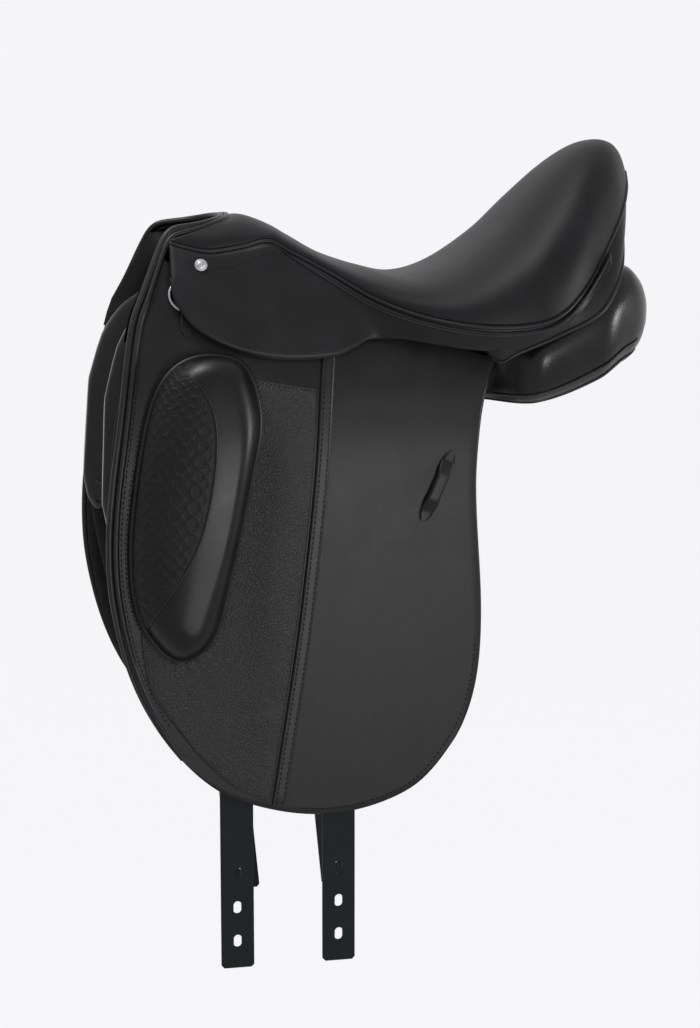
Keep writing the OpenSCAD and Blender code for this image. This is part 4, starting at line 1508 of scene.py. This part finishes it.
@dataclass
class Skirt:
    """Skirt over the stirrup bar: a band on the tree and a lobe that lifts."""

    seat: Seat
    thick: float = 4.0
    drop: float = 5.6
    standoff: float = 4.0
    flare: float = 4.4
    fold: tuple[tuple[float, float], tuple[float, float]] = ((-248.0, 49.0), (-56.0, -2.2))
    fold_span: float = 5.0
    size: tuple[float, float] = (420.0, 90.0)
    rim: float = 4.0
    flare_at: tuple[float, float] = (-185.0, 60.0)
    lobe_end: float = 0.372
    tail_share: float = 0.425
    lobe_columns: int = 64
    easing_steps: int = 50

    def fold_height(self, x: Points) -> Points:
        """Height of the fold line at x."""
        (x0, z0), (x1, z1) = self.fold
        return z0 + (x - x0) * (z1 - z0) / (x1 - x0)

    def face(self, p: Points) -> Points:
        """Points at [x, z] on the inner face."""
        start, span = self.flare_at
        return Lay.place(p, self.standoff + self.flare * smooth((start - p[..., 0]) / span))

    def grid(self) -> Points:
        """Inner face, from the welt down to the lower edge.

        Returns:
            Grid with its rows down and its columns to the rear.
        """
        lobe = Curve([[-251, 49], [-250, 37], [-246, 24], [-229, 3], [-194, -14], [-148, -23], [-99, -21],
                      [-79, -14], [-66, -6]])
        tail = Curve([*self.face(np.array([[-66, -6], [-50, -3]])), [-33, -112, -3.5], [-4, -124, -7],
                      [35, -136, -12], [72, -141, -8], [100, -139, 2], [132, -130, 22], [154, -121, 44],
                      [171, -106, 65]])
        n = self.lobe_columns
        a, b = np.linspace(0, 1, n), np.linspace(0, 1, 72)[1:]
        low = np.concatenate([self.face(lobe.at(a)), tail.at(b)])
        fold_x = -250 + 187 * a
        fold = self.face(np.stack([fold_x, self.fold_height(fold_x)], 1))
        t = np.concatenate([self.lobe_end * a, self.lobe_end + self.tail_share * b])
        top = self.seat.edge(t, self.drop)
        top += (smooth((t - 0.7) / 0.08) * 2.5)[:, None] * unit(top * [0.6, 1, 0])
        mid = np.concatenate([fold, top[n:] + (low[n:] - top[n:]) * 0.9])
        upper, under = (np.linalg.norm(q - p, axis=1) for p, q in ((top, mid), (mid, low)))
        d = np.linspace(0, 1, 24)[:, None] * (upper + under)
        band = top + (mid - top) * np.minimum(d / upper, 1)[..., None]
        lower = mid + (low - mid) * np.clip((d - upper) / np.maximum(under, 1e-6), 0, 1)[..., None]
        lower[:, :n] = self.face(lower[:, :n][..., [0, 2]])
        grid = np.where((d < upper)[..., None], band, lower)
        column = np.arange(1, grid.shape[1] - 1)
        near = 0.3 + 0.7 * smooth((column - 40) / 12) * smooth((95 - column) / 12)
        for _ in range(self.easing_steps):
            mean = (grid[:-2, 1:-1] + grid[2:, 1:-1] + grid[1:-1, :-2] + grid[1:-1, 2:]) / 4
            grid[1:-1, 1:-1] += 0.5 * near[:, None] * (mean - grid[1:-1, 1:-1])
        return grid

    def outer(self, grid: Points) -> tuple[Points, Points]:
        """Outer face of the skirt and its directions.

        Args:
            grid: the inner face.

        Returns:
            Points and unit normals.
        """
        out = normals(grid)
        out = out * np.sign(-out[..., 1:2])
        return grid + out * self.thick, out

    def seam(self, line: Points) -> tuple[Points, Points]:
        """Carries a line of [x, z] onto the outer face.

        Args:
            line: the line as seen from the side.

        Returns:
            Points on the face and its directions there.
        """
        down, along = np.linspace(0, 1, 120), np.linspace(0, 1, 700)
        fine, ways = (paced(paced(grid, down).swapaxes(0, 1), along).reshape(-1, 3)
                      for grid in self.outer(self.grid()))
        picks = [int(np.argmin(((fine[:, [0, 2]] - p) ** 2).sum(1))) for p in line]
        return fine[picks], unit(ways[picks])

    def leather(self, grid: Points, face: Points) -> Shape:
        """The skirt itself, thinner towards its rim.

        Args:
            grid: its inner face.
            face: its outer face.

        Returns:
            The leather.
        """
        rows, columns = grid.shape[:2]
        full = rounding(np.linspace(0, 1, columns), np.linspace(0, 1, rows), *self.size, self.rim)[..., None]
        middle, half = (grid + face) / 2, (face - grid) / 2 * np.maximum(full, 0.4)
        return slab(middle + half, middle - half)

    @staticmethod
    def second_welt(face: Points, out: Points) -> Shape:
        """Thin roll that leaves the seat's welt and runs down to the rear.

        Args:
            face: the skirt's outer face.
            out: its directions.

        Returns:
            The roll.
        """
        columns = np.arange(34, face.shape[1] - 2)
        rows = 4.0 * smooth((columns - 34) / 40)
        line = [paced(face[:, c], np.array([r / (face.shape[0] - 1)]))[0] for c, r in zip(columns, rows)]
        return tube(np.stack(line) + out[2, columns] * 0.2, 1.1 * smooth((columns - 32) / 20), 8)

    def build(self, side: Side) -> None:
        """Makes one side's skirt, its stitches and its second welt.

        Args:
            side: which skirt.
        """
        grid = self.grid()
        face, out = self.outer(grid)
        leather = self.leather(grid, face).on(side).piece(side.named("skirt_leather"), Finishes.hide)
        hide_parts(side.named("skirt"), side.named("skirt_band"))
        fold = np.array(self.fold)
        ends = self.face(fold) + Lay.normal(fold) * self.thick
        across = np.cross(ends[1] - ends[0], Lay.normal(np.array([-150.0, 23.0])))
        bend(leather, side, ends.mean(0), across, self.fold_span)
        line = even(Curve([[-214, 63.7], [-193.5, 65.2], [-174, 70.4], [-162.4, 75.7], [-147, 77.4],
                           [-126.3, 72.5]]))
        stitches = Thread(2.6, 1.6, 0.45).seam(*self.seam(line))
        for name, shape, finish in (("skirt_stitches", stitches, Finishes.thread),
                                    ("skirt_welt", self.second_welt(face, out), Finishes.rolled)):
            fit(shape.on(side).piece(side.named(name), finish), SADDLE, "binding_leather")


@dataclass
class Cantle:
    """Leather down the back of the cantle, with a bound lower edge and a lining below it."""

    seat: Seat
    thick: float = 3.0
    drop: float = 5.6
    start: float = 0.545
    roll: float = 2.0
    cap_drop: float = 9.0
    lining_depth: float = 80.0
    lining_thick: float = 1.5

    def facing(self) -> tuple[Shape, Points]:
        """The facing round both sides.

        Returns:
            Its shape, and its lower edge from the near side to the off side.
        """
        foot = Curve([[40, -134, -14], [53, -137, -24], [69, -139, -16], [113, -136, 1], [155, -127, 20],
                      [179, -107, 49], [197, -62, 84], [206, -20, 99]])
        u = np.linspace(0, 1, 90)
        top, low = self.seat.edge(self.start + (1 - self.start) * u, self.drop, -1.0), foot.at(u)
        v = np.linspace(0, 1, 9)[:, None, None]
        near = top + (low - top) * v + np.sin(np.pi * v) * [2, -1, 0]
        grid = np.concatenate([near, near[:, ::-1] * MIRROR], axis=1)
        return slab(grid, grid - normals(grid) * self.thick), np.concatenate([low, low[::-1] * MIRROR])

    def cap(self) -> Shape:
        """The seat's own leather over the middle of the cantle's back.

        Returns:
            The cap.
        """
        s = np.linspace(-1, 1, 31)
        upper = self.seat.points(np.array([0.99, 1.0]), s)[:, 1] - [0.4, 0, 0.4]
        lower = np.linspace(upper[0], upper[-1], len(s)) - [0, 0, self.cap_drop]
        grid = upper + (lower - upper) * np.linspace(0, 1, 7)[:, None, None]
        return slab(grid, grid - [self.thick, 0, 0])

    def lining(self, low: Points) -> Shape:
        """Leather from the facing's lower edge forward under the tree.

        Args:
            low: the facing's lower edge.

        Returns:
            The lining.
        """
        edge = low[50:130]
        inner = edge * [1, 0.8, 0.5] - [self.lining_depth, 0, 0]
        grid = edge + (inner - edge) * np.linspace(0, 1, 6)[:, None, None]
        return slab(grid, grid + [0, 0, self.lining_thick])

    def build(self) -> None:
        """Makes the facing, its binding, the cap and the lining."""
        facing, low = self.facing()
        place = np.arange(len(low))
        size = self.roll * np.clip(np.minimum(place, place[::-1]) / 14, 0.15, 1)
        for name, shape, finish, slot, nodes in (
                ("cantle_leather", facing, Finishes.hide, "black_leather", ["cantle_facing"]),
                ("cantle_binding", tube(low, size, 10), Finishes.rolled, "binding_leather", []),
                ("cantle_cap", self.cap(), Finishes.seat, "seat_leather", []),
                # The lining's finish is hide darkened as painted shade.
                ("cantle_lining", self.lining(low), Finishes.shaded, "black_leather", [])):
            fit(shape.piece(name, finish), SADDLE, slot, *nodes)


@dataclass
class Keeper:
    """Loop on the flap for the end of a stirrup leather, sewn down at two leaf shaped ends."""

    at: tuple[float, float] = (-2.0, -143.0)
    lean: float = 24.0
    length: float = 73.0
    width: float = 13.6
    thick: float = 2.4
    rise: float = 5.5
    flat: float = 14.0
    ramp: float = 16.0

    def spot(self, y: Points, across: Points) -> Points:
        """[x, z] at distances along and across the loop."""
        a = math.radians(self.lean)
        return np.stack([self.at[0] + y * math.sin(a) + across * math.cos(a),
                         self.at[1] + y * math.cos(a) - across * math.sin(a)], -1)

    def half_width(self, y: Points) -> Points:
        """Half width of the loop, which is full at the sewn ends and comes to a point.

        Args:
            y: distances along the loop from its middle.

        Returns:
            One half width for each distance.
        """
        half = self.length / 2
        tip = np.clip((np.abs(y) - (half - self.flat - 4)) / (self.flat + 4), 0, 1)
        waist = self.width * (0.43 + 0.08 * smooth((np.abs(y) - 8) / 10))
        return np.maximum(waist * (1 - tip**3) ** 0.55, 0.25)

    def build(self, side: Side) -> None:
        """Makes one side's keeper and its stitches.

        Args:
            side: which flap it is sewn to.
        """
        half = self.length / 2
        y = -half * np.cos(np.linspace(0, np.pi, 70))
        w = np.linspace(-1, 1, 15)
        grid = self.spot(y[:, None] + 0 * w, self.half_width(y)[:, None] * w)
        hump = self.rise * smooth((half - self.flat + 5 - np.abs(y)) / self.ramp)[:, None] + 0.3
        crown = self.thick * np.sqrt(np.maximum(1 - np.abs(w) ** 6, 0.05))[None]
        shape = slab(Lay.place(grid, hump + crown), Lay.place(grid, hump + 0 * crown)).on(side)
        flap = side.named("flap")
        loop = shape.piece(side.named("keeper_loop"), Finishes.hide)
        fit(loop, flap, "binding_leather", side.named("keeper"))
        thread = Thread(1.8, 0.9, 0.4)
        run = np.linspace(half - self.flat, half - 2.5, 30)
        rows = []
        for end in (-1, 1):
            for edge in (-1, 1):
                line = self.spot(end * run, edge * np.maximum(self.half_width(run) - 1.5, 0.1))
                rows.append(lay_seam(thread, line, 0.3 + self.thick))
            bar = self.spot(np.full(12, end * (half - self.flat)), np.linspace(-4.2, 4.2, 12))
            rows.append(lay_seam(thread, bar, 0.5 + self.thick))
        stitches = rows[0].joined(*rows[1:]).on(side)
        fit(stitches.piece(side.named("keeper_stitches"), Finishes.thread), flap, "binding_leather")


@dataclass
class Fittings:
    """Nails at the pommel and the stitches of the dee's safe."""

    nail: tuple[float, float] = (-221.0, 64.0)
    nail_lift: float = 9.25
    safe: tuple[float, float] = (-236.5, 7.5)
    safe_width: float = 13.0
    safe_top: float = 24.0
    safe_margin: float = 1.7

    def nail_head(self) -> Shape:
        """Round head with a turned rim round its dome.

        Returns:
            The near side's nail head.
        """
        profile = np.array([[6.0, 0.0], [6.05, 0.6], [5.75, 1.25], [5.2, 1.45], [4.75, 1.15], [4.3, 1.1],
                            [3.5, 1.75], [2.3, 2.3], [1.1, 2.55], [0.02, 2.6]])
        turn = np.linspace(0, 2 * np.pi, 48, endpoint=False)
        spot = np.array(self.nail)
        out = Lay.normal(spot)
        x = np.array([1.0, 0.0, 0.0])
        z = np.cross(out, x)
        base = Lay.place(spot, self.nail_lift)
        ring = np.cos(turn)[:, None] * x + np.sin(turn)[:, None] * z
        return loft(np.array([base + h * out + r * ring for r, h in profile]))

    def build(self) -> None:
        """Makes both nails and both safes' stitches."""
        near = self.nail_head()
        nails = near.joined(near.on(Side.OFF)).piece("pommel_nails", Finishes.bright)
        fit(nails, SADDLE, "bright_metal", "head_nails")
        turn = np.linspace(0, np.pi, 20)
        r = self.safe_width / 2 - self.safe_margin
        x, z = self.safe
        arc = np.stack([x + r * np.cos(turn), z - r * np.sin(turn)], 1)
        legs = [np.stack([np.full(12, at), run], 1) for at, run in (
            (x + r, np.linspace(self.safe_top, z + 1, 12)), (x - r, np.linspace(z + 1, self.safe_top, 12)))]
        line = np.concatenate([legs[0], arc, legs[1]])
        for side in Side:
            row = lay_seam(Thread(1.9, 1.0, 0.42), line, 1.35).on(side)
            fit(row.piece(side.named("safe_stitches"), Finishes.waxed), SADDLE, "binding_leather")


@dataclass
class Billets:
    """Girth straps with oval holes."""

    places: tuple[tuple[str, float], ...] = (("front_billet", -197.0), ("rear_billet", -97.0))
    width: float = 32.0
    thick: float = 4.0
    seam: float = 160.0
    drop: float = 612.0
    hole_margin: float = 27.0
    hole_pitch: float = 34.0
    holes: int = 3
    hole: float = 4.0
    hole_length: float = 13.0
    middle: float = 110.2
    lean: float = 5.5
    corner: float = 2.5
    bevel: float = 0.5

    def outline(self) -> list[list[tuple[float, float]]]:
        """Edge of the strap and edges of its holes.

        Returns:
            Closed lines of points, across and down.
        """
        w, d = self.width / 2 - self.bevel, self.drop - self.bevel
        head = [(w * math.cos(a), self.seam - w * math.sin(a)) for a in np.linspace(0, np.pi, 25)]
        c = self.corner
        lines = [head + [(-w, d - c), (c - w, d), (w - c, d), (w, d - c)]]
        r, straight = self.hole + self.bevel, self.hole_length / 2 - self.hole
        for k in range(self.holes):
            mid = self.drop - self.hole_margin - k * self.hole_pitch
            ring = [(r * math.cos(a), mid + r * math.sin(a) + (straight if math.sin(a) >= 0 else -straight))
                    for a in np.linspace(0, 2 * np.pi, 28, endpoint=False)]
            lines.append(ring)
        return lines

    def strap(self) -> Shape:
        """One strap with bevelled edges.

        Returns:
            Its shape, across, out and up from its seam's height.
        """
        curve = bpy.data.curves.new("strap", "CURVE")
        curve.dimensions, curve.fill_mode = "2D", "BOTH"
        curve.extrude = self.thick / 2 - self.bevel
        curve.bevel_depth, curve.bevel_resolution = self.bevel, 2
        for line in self.outline():
            spline = curve.splines.new("POLY")
            spline.points.add(len(line) - 1)
            for point, (x, y) in zip(spline.points, line):
                point.co = (x, y, 0, 1)
            spline.use_cyclic_u = True
        holder = bpy.data.objects.new("strap", curve)
        bpy.context.scene.collection.objects.link(holder)
        mesh = bpy.data.meshes.new_from_object(holder.evaluated_get(bpy.context.evaluated_depsgraph_get()))
        points = np.array([v.co for v in mesh.vertices])
        faces = [tuple(f.vertices) for f in mesh.polygons]
        bpy.data.objects.remove(holder)
        bpy.data.curves.remove(curve)
        bpy.data.meshes.remove(mesh)
        return Shape(np.stack([points[:, 0], -points[:, 2], self.seam - points[:, 1]], 1), faces)

    def build(self) -> None:
        """Makes the four straps, with the off side's leaning to the rear."""
        strap = self.strap()
        a = math.radians(self.lean)
        for side in Side:
            for name, x in self.places:
                points = strap.points.copy()
                y = -self.middle
                if side is Side.OFF:
                    points = np.stack([points[:, 0] * math.cos(a) - points[:, 2] * math.sin(a), points[:, 1],
                                       points[:, 0] * math.sin(a) + points[:, 2] * math.cos(a)], 1)
                    y = self.middle
                body = side.named(name)
                piece = Shape(points + [x, y, -self.seam], strap.faces).piece(f"{body}_strap", Finishes.strap)
                for face in piece.data.polygons:
                    face.use_smooth = abs(face.normal.y) < 0.98
                fit(piece, body, "billet_leather", body)


@dataclass
class SweatFlap:
    """Sweat flap between the billets and the horse."""

    lift: float = -10.6
    thick: float = 4.0
    size: tuple[float, float] = (300.0, 380.0)
    rim: float = 2.5

    def build(self, side: Side) -> None:
        """Makes one side's sweat flap.

        Args:
            side: which flap.
        """
        top = Curve([[-266, 10], [-130, -36], [34, -80]])
        foot = Curve([[-235, -378], [-185, -418], [-95, -436], [-25, -418], [14, -374]])
        front = Curve([[-266, 10], [-288, -16], [-302, -55], [-310, -100], [-312, -150], [-306, -215],
                       [-282, -305], [-235, -378]])
        rear = Curve([[34, -80], [26, -150], [32, -250], [30, -325], [14, -374]])
        edges = (top, foot, front, rear)
        shape = sheet(edges, (40, 50), self.size, self.rim, self.lift - self.thick / 2, self.thick).on(side)
        piece = shape.piece(side.named("sweat_leather"), Finishes.hide)
        fit(piece, SADDLE, "black_leather", side.named("sweat_flap"))


@dataclass
class Panels:
    """Stuffed panels either side of the gullet."""

    stations: Points
    sides: int = 56
    rings: int = 84
    gusset: tuple[float, float] = (-27.0, -50.0)
    roll: float = 1.5

    def ring(self, x: Points, turn: Points, swell: float = 0.0) -> Points:
        """Points on the sections.

        Args:
            x: places of the sections.
            turn: angles round them.
            swell: distance out from the section.

        Returns:
            Grid with a row for each section.
        """
        x, turn = np.broadcast_arrays(x[:, None], turn[None, :])
        row = {k: table(self.stations[:, [0, k]], x) for k in range(1, 7)}
        slope = np.radians(row[5])
        p = (row[3] + swell) * np.sign(np.cos(turn)) * np.abs(np.cos(turn)) ** 0.8
        h = (row[4] + swell) * np.sign(np.sin(turn)) * np.abs(np.sin(turn)) ** 0.8
        w = row[1] + p * np.cos(slope) + h * np.sin(slope)
        z = row[2] - p * np.sin(slope) + h * np.cos(slope)
        return np.stack([x - row[6] * (z - row[2]), -w, z], axis=-1)

    def run(self) -> Points:
        """Places of the sections, closer at the ends.

        Returns:
            One place for each section.
        """
        u = np.linspace(0, 1, self.rings)
        first, last = self.stations[0, 0], self.stations[-1, 0]
        return first + (last - first) * (0.4 * u + 0.6 * smooth(u))

    def piping(self) -> Shape:
        """Rolls along both seams of the gusset.

        Returns:
            Both rolls.
        """
        x = np.linspace(-300, 203, 150)
        size = self.roll * (1 - 0.7 * smooth((x - 180) / 23))
        upper, lower = (self.ring(x, np.array([a]), 0.3)[:, 0] for a in np.radians(self.gusset))
        return tube(upper, size, 8).joined(tube(lower, size, 8))

    def build(self) -> None:
        """Makes both panels and their piping."""
        turn = np.linspace(0, 2 * np.pi, self.sides, endpoint=False)
        near = loft(self.ring(self.run(), turn)).piece("near_panel_cushion", Finishes.panel)
        inflate(near, np.zeros(len(near.data.vertices), bool), pressure=2.0, cap=2.0)
        for side in Side:
            cushion = near if side is Side.NEAR else mirrored_copy(near, "off_panel_cushion")
            fit(cushion, SADDLE, "panel_leather", side.named("panel"))
            roll = self.piping().on(side).piece(side.named("panel_piping"), Finishes.rolled)
            fit(roll, SADDLE, "binding_leather")


@dataclass
class Studio:
    """Camera, lamps and floor."""

    LAMPS = (
        ("key", (-1.0, -0.2, 2.1), (0.8, 0.8), 40),
        ("front_right", (0.34, -2.4, -0.42), (0.35, 0.5), 23),
        ("low_right", (2.2, -0.9, 0.0), (0.4, 0.6), 30),
        ("top", (-0.7, 0.3, 2.3), (1.2, 0.8), 10))

    azimuth: float = -12.0
    elevation: float = 10.0
    distance: float = 2.3
    focal: float = 2300.0
    image_height: float = 1028.0
    sensor: float = 36.0
    target: tuple[float, float, float] = (-0.062, 0.0, -0.188)
    floor: float = -1.25
    reach: float = 14.0
    ambient: float = 0.2

    def camera(self) -> None:
        """Puts the camera at the photograph's viewing angle."""
        a, e = math.radians(self.azimuth), math.radians(self.elevation)
        back = Vector((math.sin(a) * math.cos(e), -math.cos(a) * math.cos(e), math.sin(e)))
        lens = bpy.data.cameras.new("camera")
        lens.sensor_width = self.sensor
        lens.lens = self.focal / self.image_height * self.sensor
        lens.clip_end = 50.0
        camera = bpy.data.objects.new("camera", lens)
        camera.location = Vector(self.target) + back * self.distance
        camera.rotation_euler = (-back).to_track_quat("-Z", "Y").to_euler()
        bpy.context.scene.collection.objects.link(camera)
        bpy.context.scene.camera = camera

    def lamp(self, name: str, spot: Sequence[float], size: tuple[float, float], power: float) -> None:
        """Adds a soft rectangular lamp that points at the saddle.

        Args:
            name: its name.
            spot: its place in metres.
            size: its width and height in metres.
            power: its power in watts.
        """
        light = bpy.data.lights.new(name, "AREA")
        light.shape = "RECTANGLE"
        light.size, light.size_y = size
        light.energy = power
        lamp = bpy.data.objects.new(name, light)
        lamp.location = spot
        lamp.rotation_euler = (Vector(self.target) - Vector(spot)).to_track_quat("-Z", "Y").to_euler()
        bpy.context.scene.collection.objects.link(lamp)

    def build(self) -> None:
        """Makes the stage."""
        scene = bpy.context.scene
        scene.view_settings.view_transform = "Standard"
        self.camera()
        for lamp in self.LAMPS:
            self.lamp(*lamp)
        mesh = bpy.data.meshes.new("floor")
        r = self.reach
        corners = [(x, y, self.floor) for x, y in ((-r, -r), (r, -r), (r, r), (-r, r))]
        mesh.from_pydata(corners, [], [(0, 1, 2, 3)])
        floor = bpy.data.objects.new("floor", mesh)
        mesh.materials.append(Finishes.studio.material())
        scene.collection.objects.link(floor)
        scene.world = Finishes.studio.world(self.ambient)


def dress_frame() -> None:
    """Gives the frame's own pieces their finishes."""
    finishes = {
        "tree_": Finishes.beech, "head_plate": Finishes.steel, "spring_steels": Finishes.steel,
        "stirrup_bar": Finishes.steel, "catch": Finishes.steel, "head_nails": Finishes.bright,
        "dee": Finishes.bright, "web": Finishes.webbing, "lining": Finishes.lining, "billet": Finishes.strap,
    }
    for name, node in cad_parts.items():
        fitting = [finish for key, finish in finishes.items() if key in name and "chape" not in name]
        chosen = fitting[0] if fitting else Finishes.hide
        node.data.materials.clear()
        node.data.materials.append(chosen.material())


def main() -> None:
    """Builds the saddle's pieces in order."""
    logging.basicConfig(level=logging.INFO)
    Studio().build()
    dress_frame()
    seat = Seat(
        rim=np.array([[-249, 62, 90], [-215, 68, 82], [-180, 67, 86], [-155, 66, 91], [-135, 71, 81],
                      [-100, 82, 62], [-58, 101, 37], [-15, 123, 21], [31, 141, 13], [79, 146, 13],
                      [112, 140, 22], [143, 123, 48], [170, 97, 82], [192, 70, 112], [207, 40, 136],
                      [214, 14, 152]], float),
        crest=np.array([[-184, 0, 110], [-172, 0, 111], [-158, 0, 107], [-143, 0, 100], [-127, 0, 90],
                        [-98, 0, 74], [-58, 0, 60], [-15, 0, 53], [29, 0, 63], [76, 0, 95], [108, 0, 127],
                        [140, 0, 157], [165, 0, 175], [184, 0, 181], [198, 0, 179], [208, 0, 172]], float))
    seat.build()
    Panels(np.array([[-316, 84, -104, 52, 6, 82, -0.06], [-306, 81, -92, 88, 12, 81, -0.09],
                     [-288, 74, -82, 110, 17, 79, -0.12], [-256, 61, -56, 114, 16, 76, -0.14],
                     [-215, 59, -40, 106, 15, 73, -0.14], [-150, 58, -30, 74, 16, 64, -0.05],
                     [-70, 57, -26, 43, 19, 46, 0], [10, 57, -32, 34, 25, 26, 0],
                     [54, 59, -33, 35, 31, 18, 0], [98, 81, -25, 50, 41, 13, 0],
                     [160, 78, 0, 50, 49, 8, 0], [194, 68, 15, 41, 47, 4, 0],
                     [210, 62, 16, 31, 34, 2, 0], [219, 58, 16, 17, 19, 2, 0]], float)).build()
    flap = Flap(seat)
    Pommel(seat, flap).build()
    Cantle(seat).build()
    for side in Side:
        flap.build(side)
        Skirt(seat).build(side)
        SweatFlap().build(side)
        Keeper().build(side)
    Block(
        foot=np.array([[-218, -17], [-250, -27], [-272, -58], [-287, -120], [-295, -195], [-289, -255],
                       [-264, -294], [-240, -297], [-217, -272], [-202, -215], [-183, -130], [-173, -72],
                       [-186, -28]], float),
        ridge=np.array([[-212, -50], [-204, -95], [-210, -150], [-223, -205], [-243, -258]], float)).build()
    Billets().build()
    Fittings().build()


if __name__ == "__main__":
    main()
